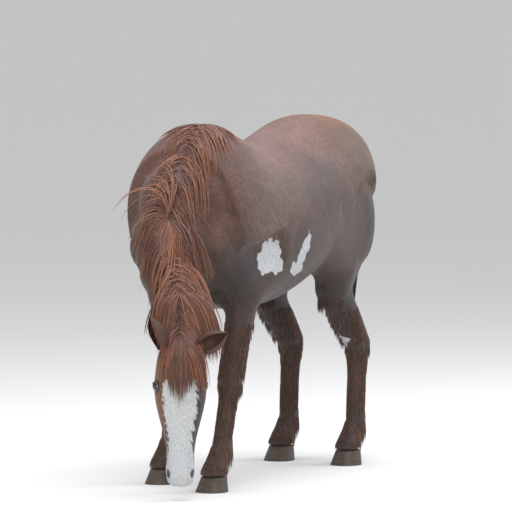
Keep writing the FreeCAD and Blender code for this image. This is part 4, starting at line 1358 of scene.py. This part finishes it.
@dataclass
class Studio:
    """Pale floor, soft lights and the camera."""

    azimuth: float = 118.0
    elevation: float = 4.0
    distance: float = 25.0
    sensor: float = 36.0
    width_per_metre: float = 235 / 512
    aim: tuple = (0.0596, 0.1915, 0.75)

    def build(self) -> None:
        """Makes the floor, the world, three soft lights and the camera."""
        bpy.context.scene.view_settings.view_transform = "Standard"
        self.floor()
        self.world()
        self.light("sky", Vector((0.5, 0.5, 5.5)), 6.0, 330, "#f1f4fa")
        self.light("front", Vector((6.5, 2.5, 2.6)), 4.0, 200, "#fdf8f0")
        self.light("rim", Vector((-4.5, 3.5, 4.0)), 3.0, 150, "#eef2fb")
        self.camera()

    def floor(self) -> None:
        """A wide plain floor at the soles."""
        bm = bmesh.new()
        bmesh.ops.create_grid(bm, x_segments=1, y_segments=1, size=400)
        mesh = as_mesh("studio_floor", bm)
        made = place_object("studio_floor", mesh)
        paper, _, shader = blank("matt_pale_floor")
        shader.inputs["Base Color"].default_value = linear("#e9e7e3")
        shader.inputs["Roughness"].default_value = 0.9
        mesh.materials.append(paper)

    def world(self) -> None:
        """An even pale surround."""
        world = bpy.data.worlds.new("studio")
        world.use_nodes = True
        world.node_tree.nodes["Background"].inputs["Color"].default_value = linear("#e4e6ea")
        world.node_tree.nodes["Background"].inputs["Strength"].default_value = 0.85
        bpy.context.scene.world = world

    def light(self, name: str, place: Vector, size: float, power: float, colour: str) -> None:
        """One square soft light aimed at the horse."""
        lamp = bpy.data.lights.new(name, "AREA")
        lamp.size = size
        lamp.energy = power
        lamp.color = linear(colour)[:3]
        made = bpy.data.objects.new(name, lamp)
        made.location = place
        made.rotation_euler = (Vector((0, 0, 0.8)) - place).to_track_quat("-Z", "Y").to_euler()
        bpy.context.scene.collection.objects.link(made)

    def camera(self) -> None:
        """A long lens from ahead and to the near side, a little above level."""
        a, e = math.radians(self.azimuth), math.radians(self.elevation)
        back = Vector((math.sin(a) * math.cos(e), -math.cos(a) * math.cos(e), math.sin(e)))
        right = Vector((math.cos(a), math.sin(a), 0))
        up = back.cross(right)
        across, over, height = self.aim
        target = Vector((0, MID, height)) + right * across + up * over
        lens = bpy.data.cameras.new("camera")
        lens.sensor_width = self.sensor
        lens.lens = self.sensor * self.distance * self.width_per_metre
        made = bpy.data.objects.new("camera", lens)
        made.location = target + back * self.distance
        made.rotation_euler = back.to_track_quat("Z", "Y").to_euler()
        lens.clip_end = 200
        bpy.context.scene.collection.objects.link(made)
        bpy.context.scene.camera = made


def dress_frame() -> None:
    """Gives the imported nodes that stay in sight, or inside, their own finishes."""
    finishes = {"bone": BONE, "eye": EYE, "lid_skin": LID, "tongue": TONGUE, "hoof_horn": HornFinish(),
                "muscle": FLESH, "coat": COAT, "dark_coat": EAR_COAT, "hair": MANE_HAIR}
    slots = {row["node"]: row["material_slot"] for row in frame["record"]["subparts"]}
    for name, node in frame["nodes"].items():
        finish = finishes[slots.get(name, "muscle")]
        node.data.materials.clear()
        node.data.materials.append(STORE.get(finish))


JAW_GRID = 0.005  # the jaw is slim, so its grid is finer than the hide's
JAW_ROUNDS = 5


def jaw(hide: Hide) -> None:
    """The lower jaw's skin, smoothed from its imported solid."""
    made = place_object("jaw_form", as_mesh("jaw_form", welded("lower_jaw")))
    hide.fuse(made, JAW_GRID)
    bm = as_bmesh(made.data)
    relax(bm, JAW_ROUNDS)
    skin = as_mesh("jaw_skin", bm)
    bpy.data.objects.remove(made)
    count = len(skin.vertices)
    flat = np.zeros(count * 3)
    skin.vertices.foreach_get("co", flat)
    # The jaw takes the coat's tones by place, painted highlight and painted shade included.
    tone = skin.attributes.new("tone", "FLOAT_COLOR", "POINT")
    colours = PAINT.tones(flat.reshape(-1, 3))
    tone.data.foreach_set("color", np.column_stack([colours, np.ones(count)]).ravel().astype(np.float32))
    white = skin.attributes.new("white", "FLOAT", "POINT")
    white.data.foreach_set("value", np.full(count, -1.0, np.float32))
    piece = new_object("jaw_skin", skin, COAT)
    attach(piece, "jaw")
    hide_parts("lower_jaw")


def main() -> None:
    """Builds every piece in order and reports it."""
    logging.basicConfig(level=logging.INFO, format="%(message)s")
    dress_frame()
    hide = Hide()
    hide.grow()
    hide.paint()
    hide.regions = Plan().all()
    for name, part in hide.cut().items():
        region = next((r for r in hide.regions if r.name == name), None)
        finish_piece(name, part, region)
    jaw(hide)
    Mane(hide, 11).build()
    Forelock(hide, 12).build()
    Tail(hide, 13).build()
    Feather(hide, 14).build()
    for side in Side:
        Ear(side).build()
    Studio().build()


if __name__ == "__main__":
    main()
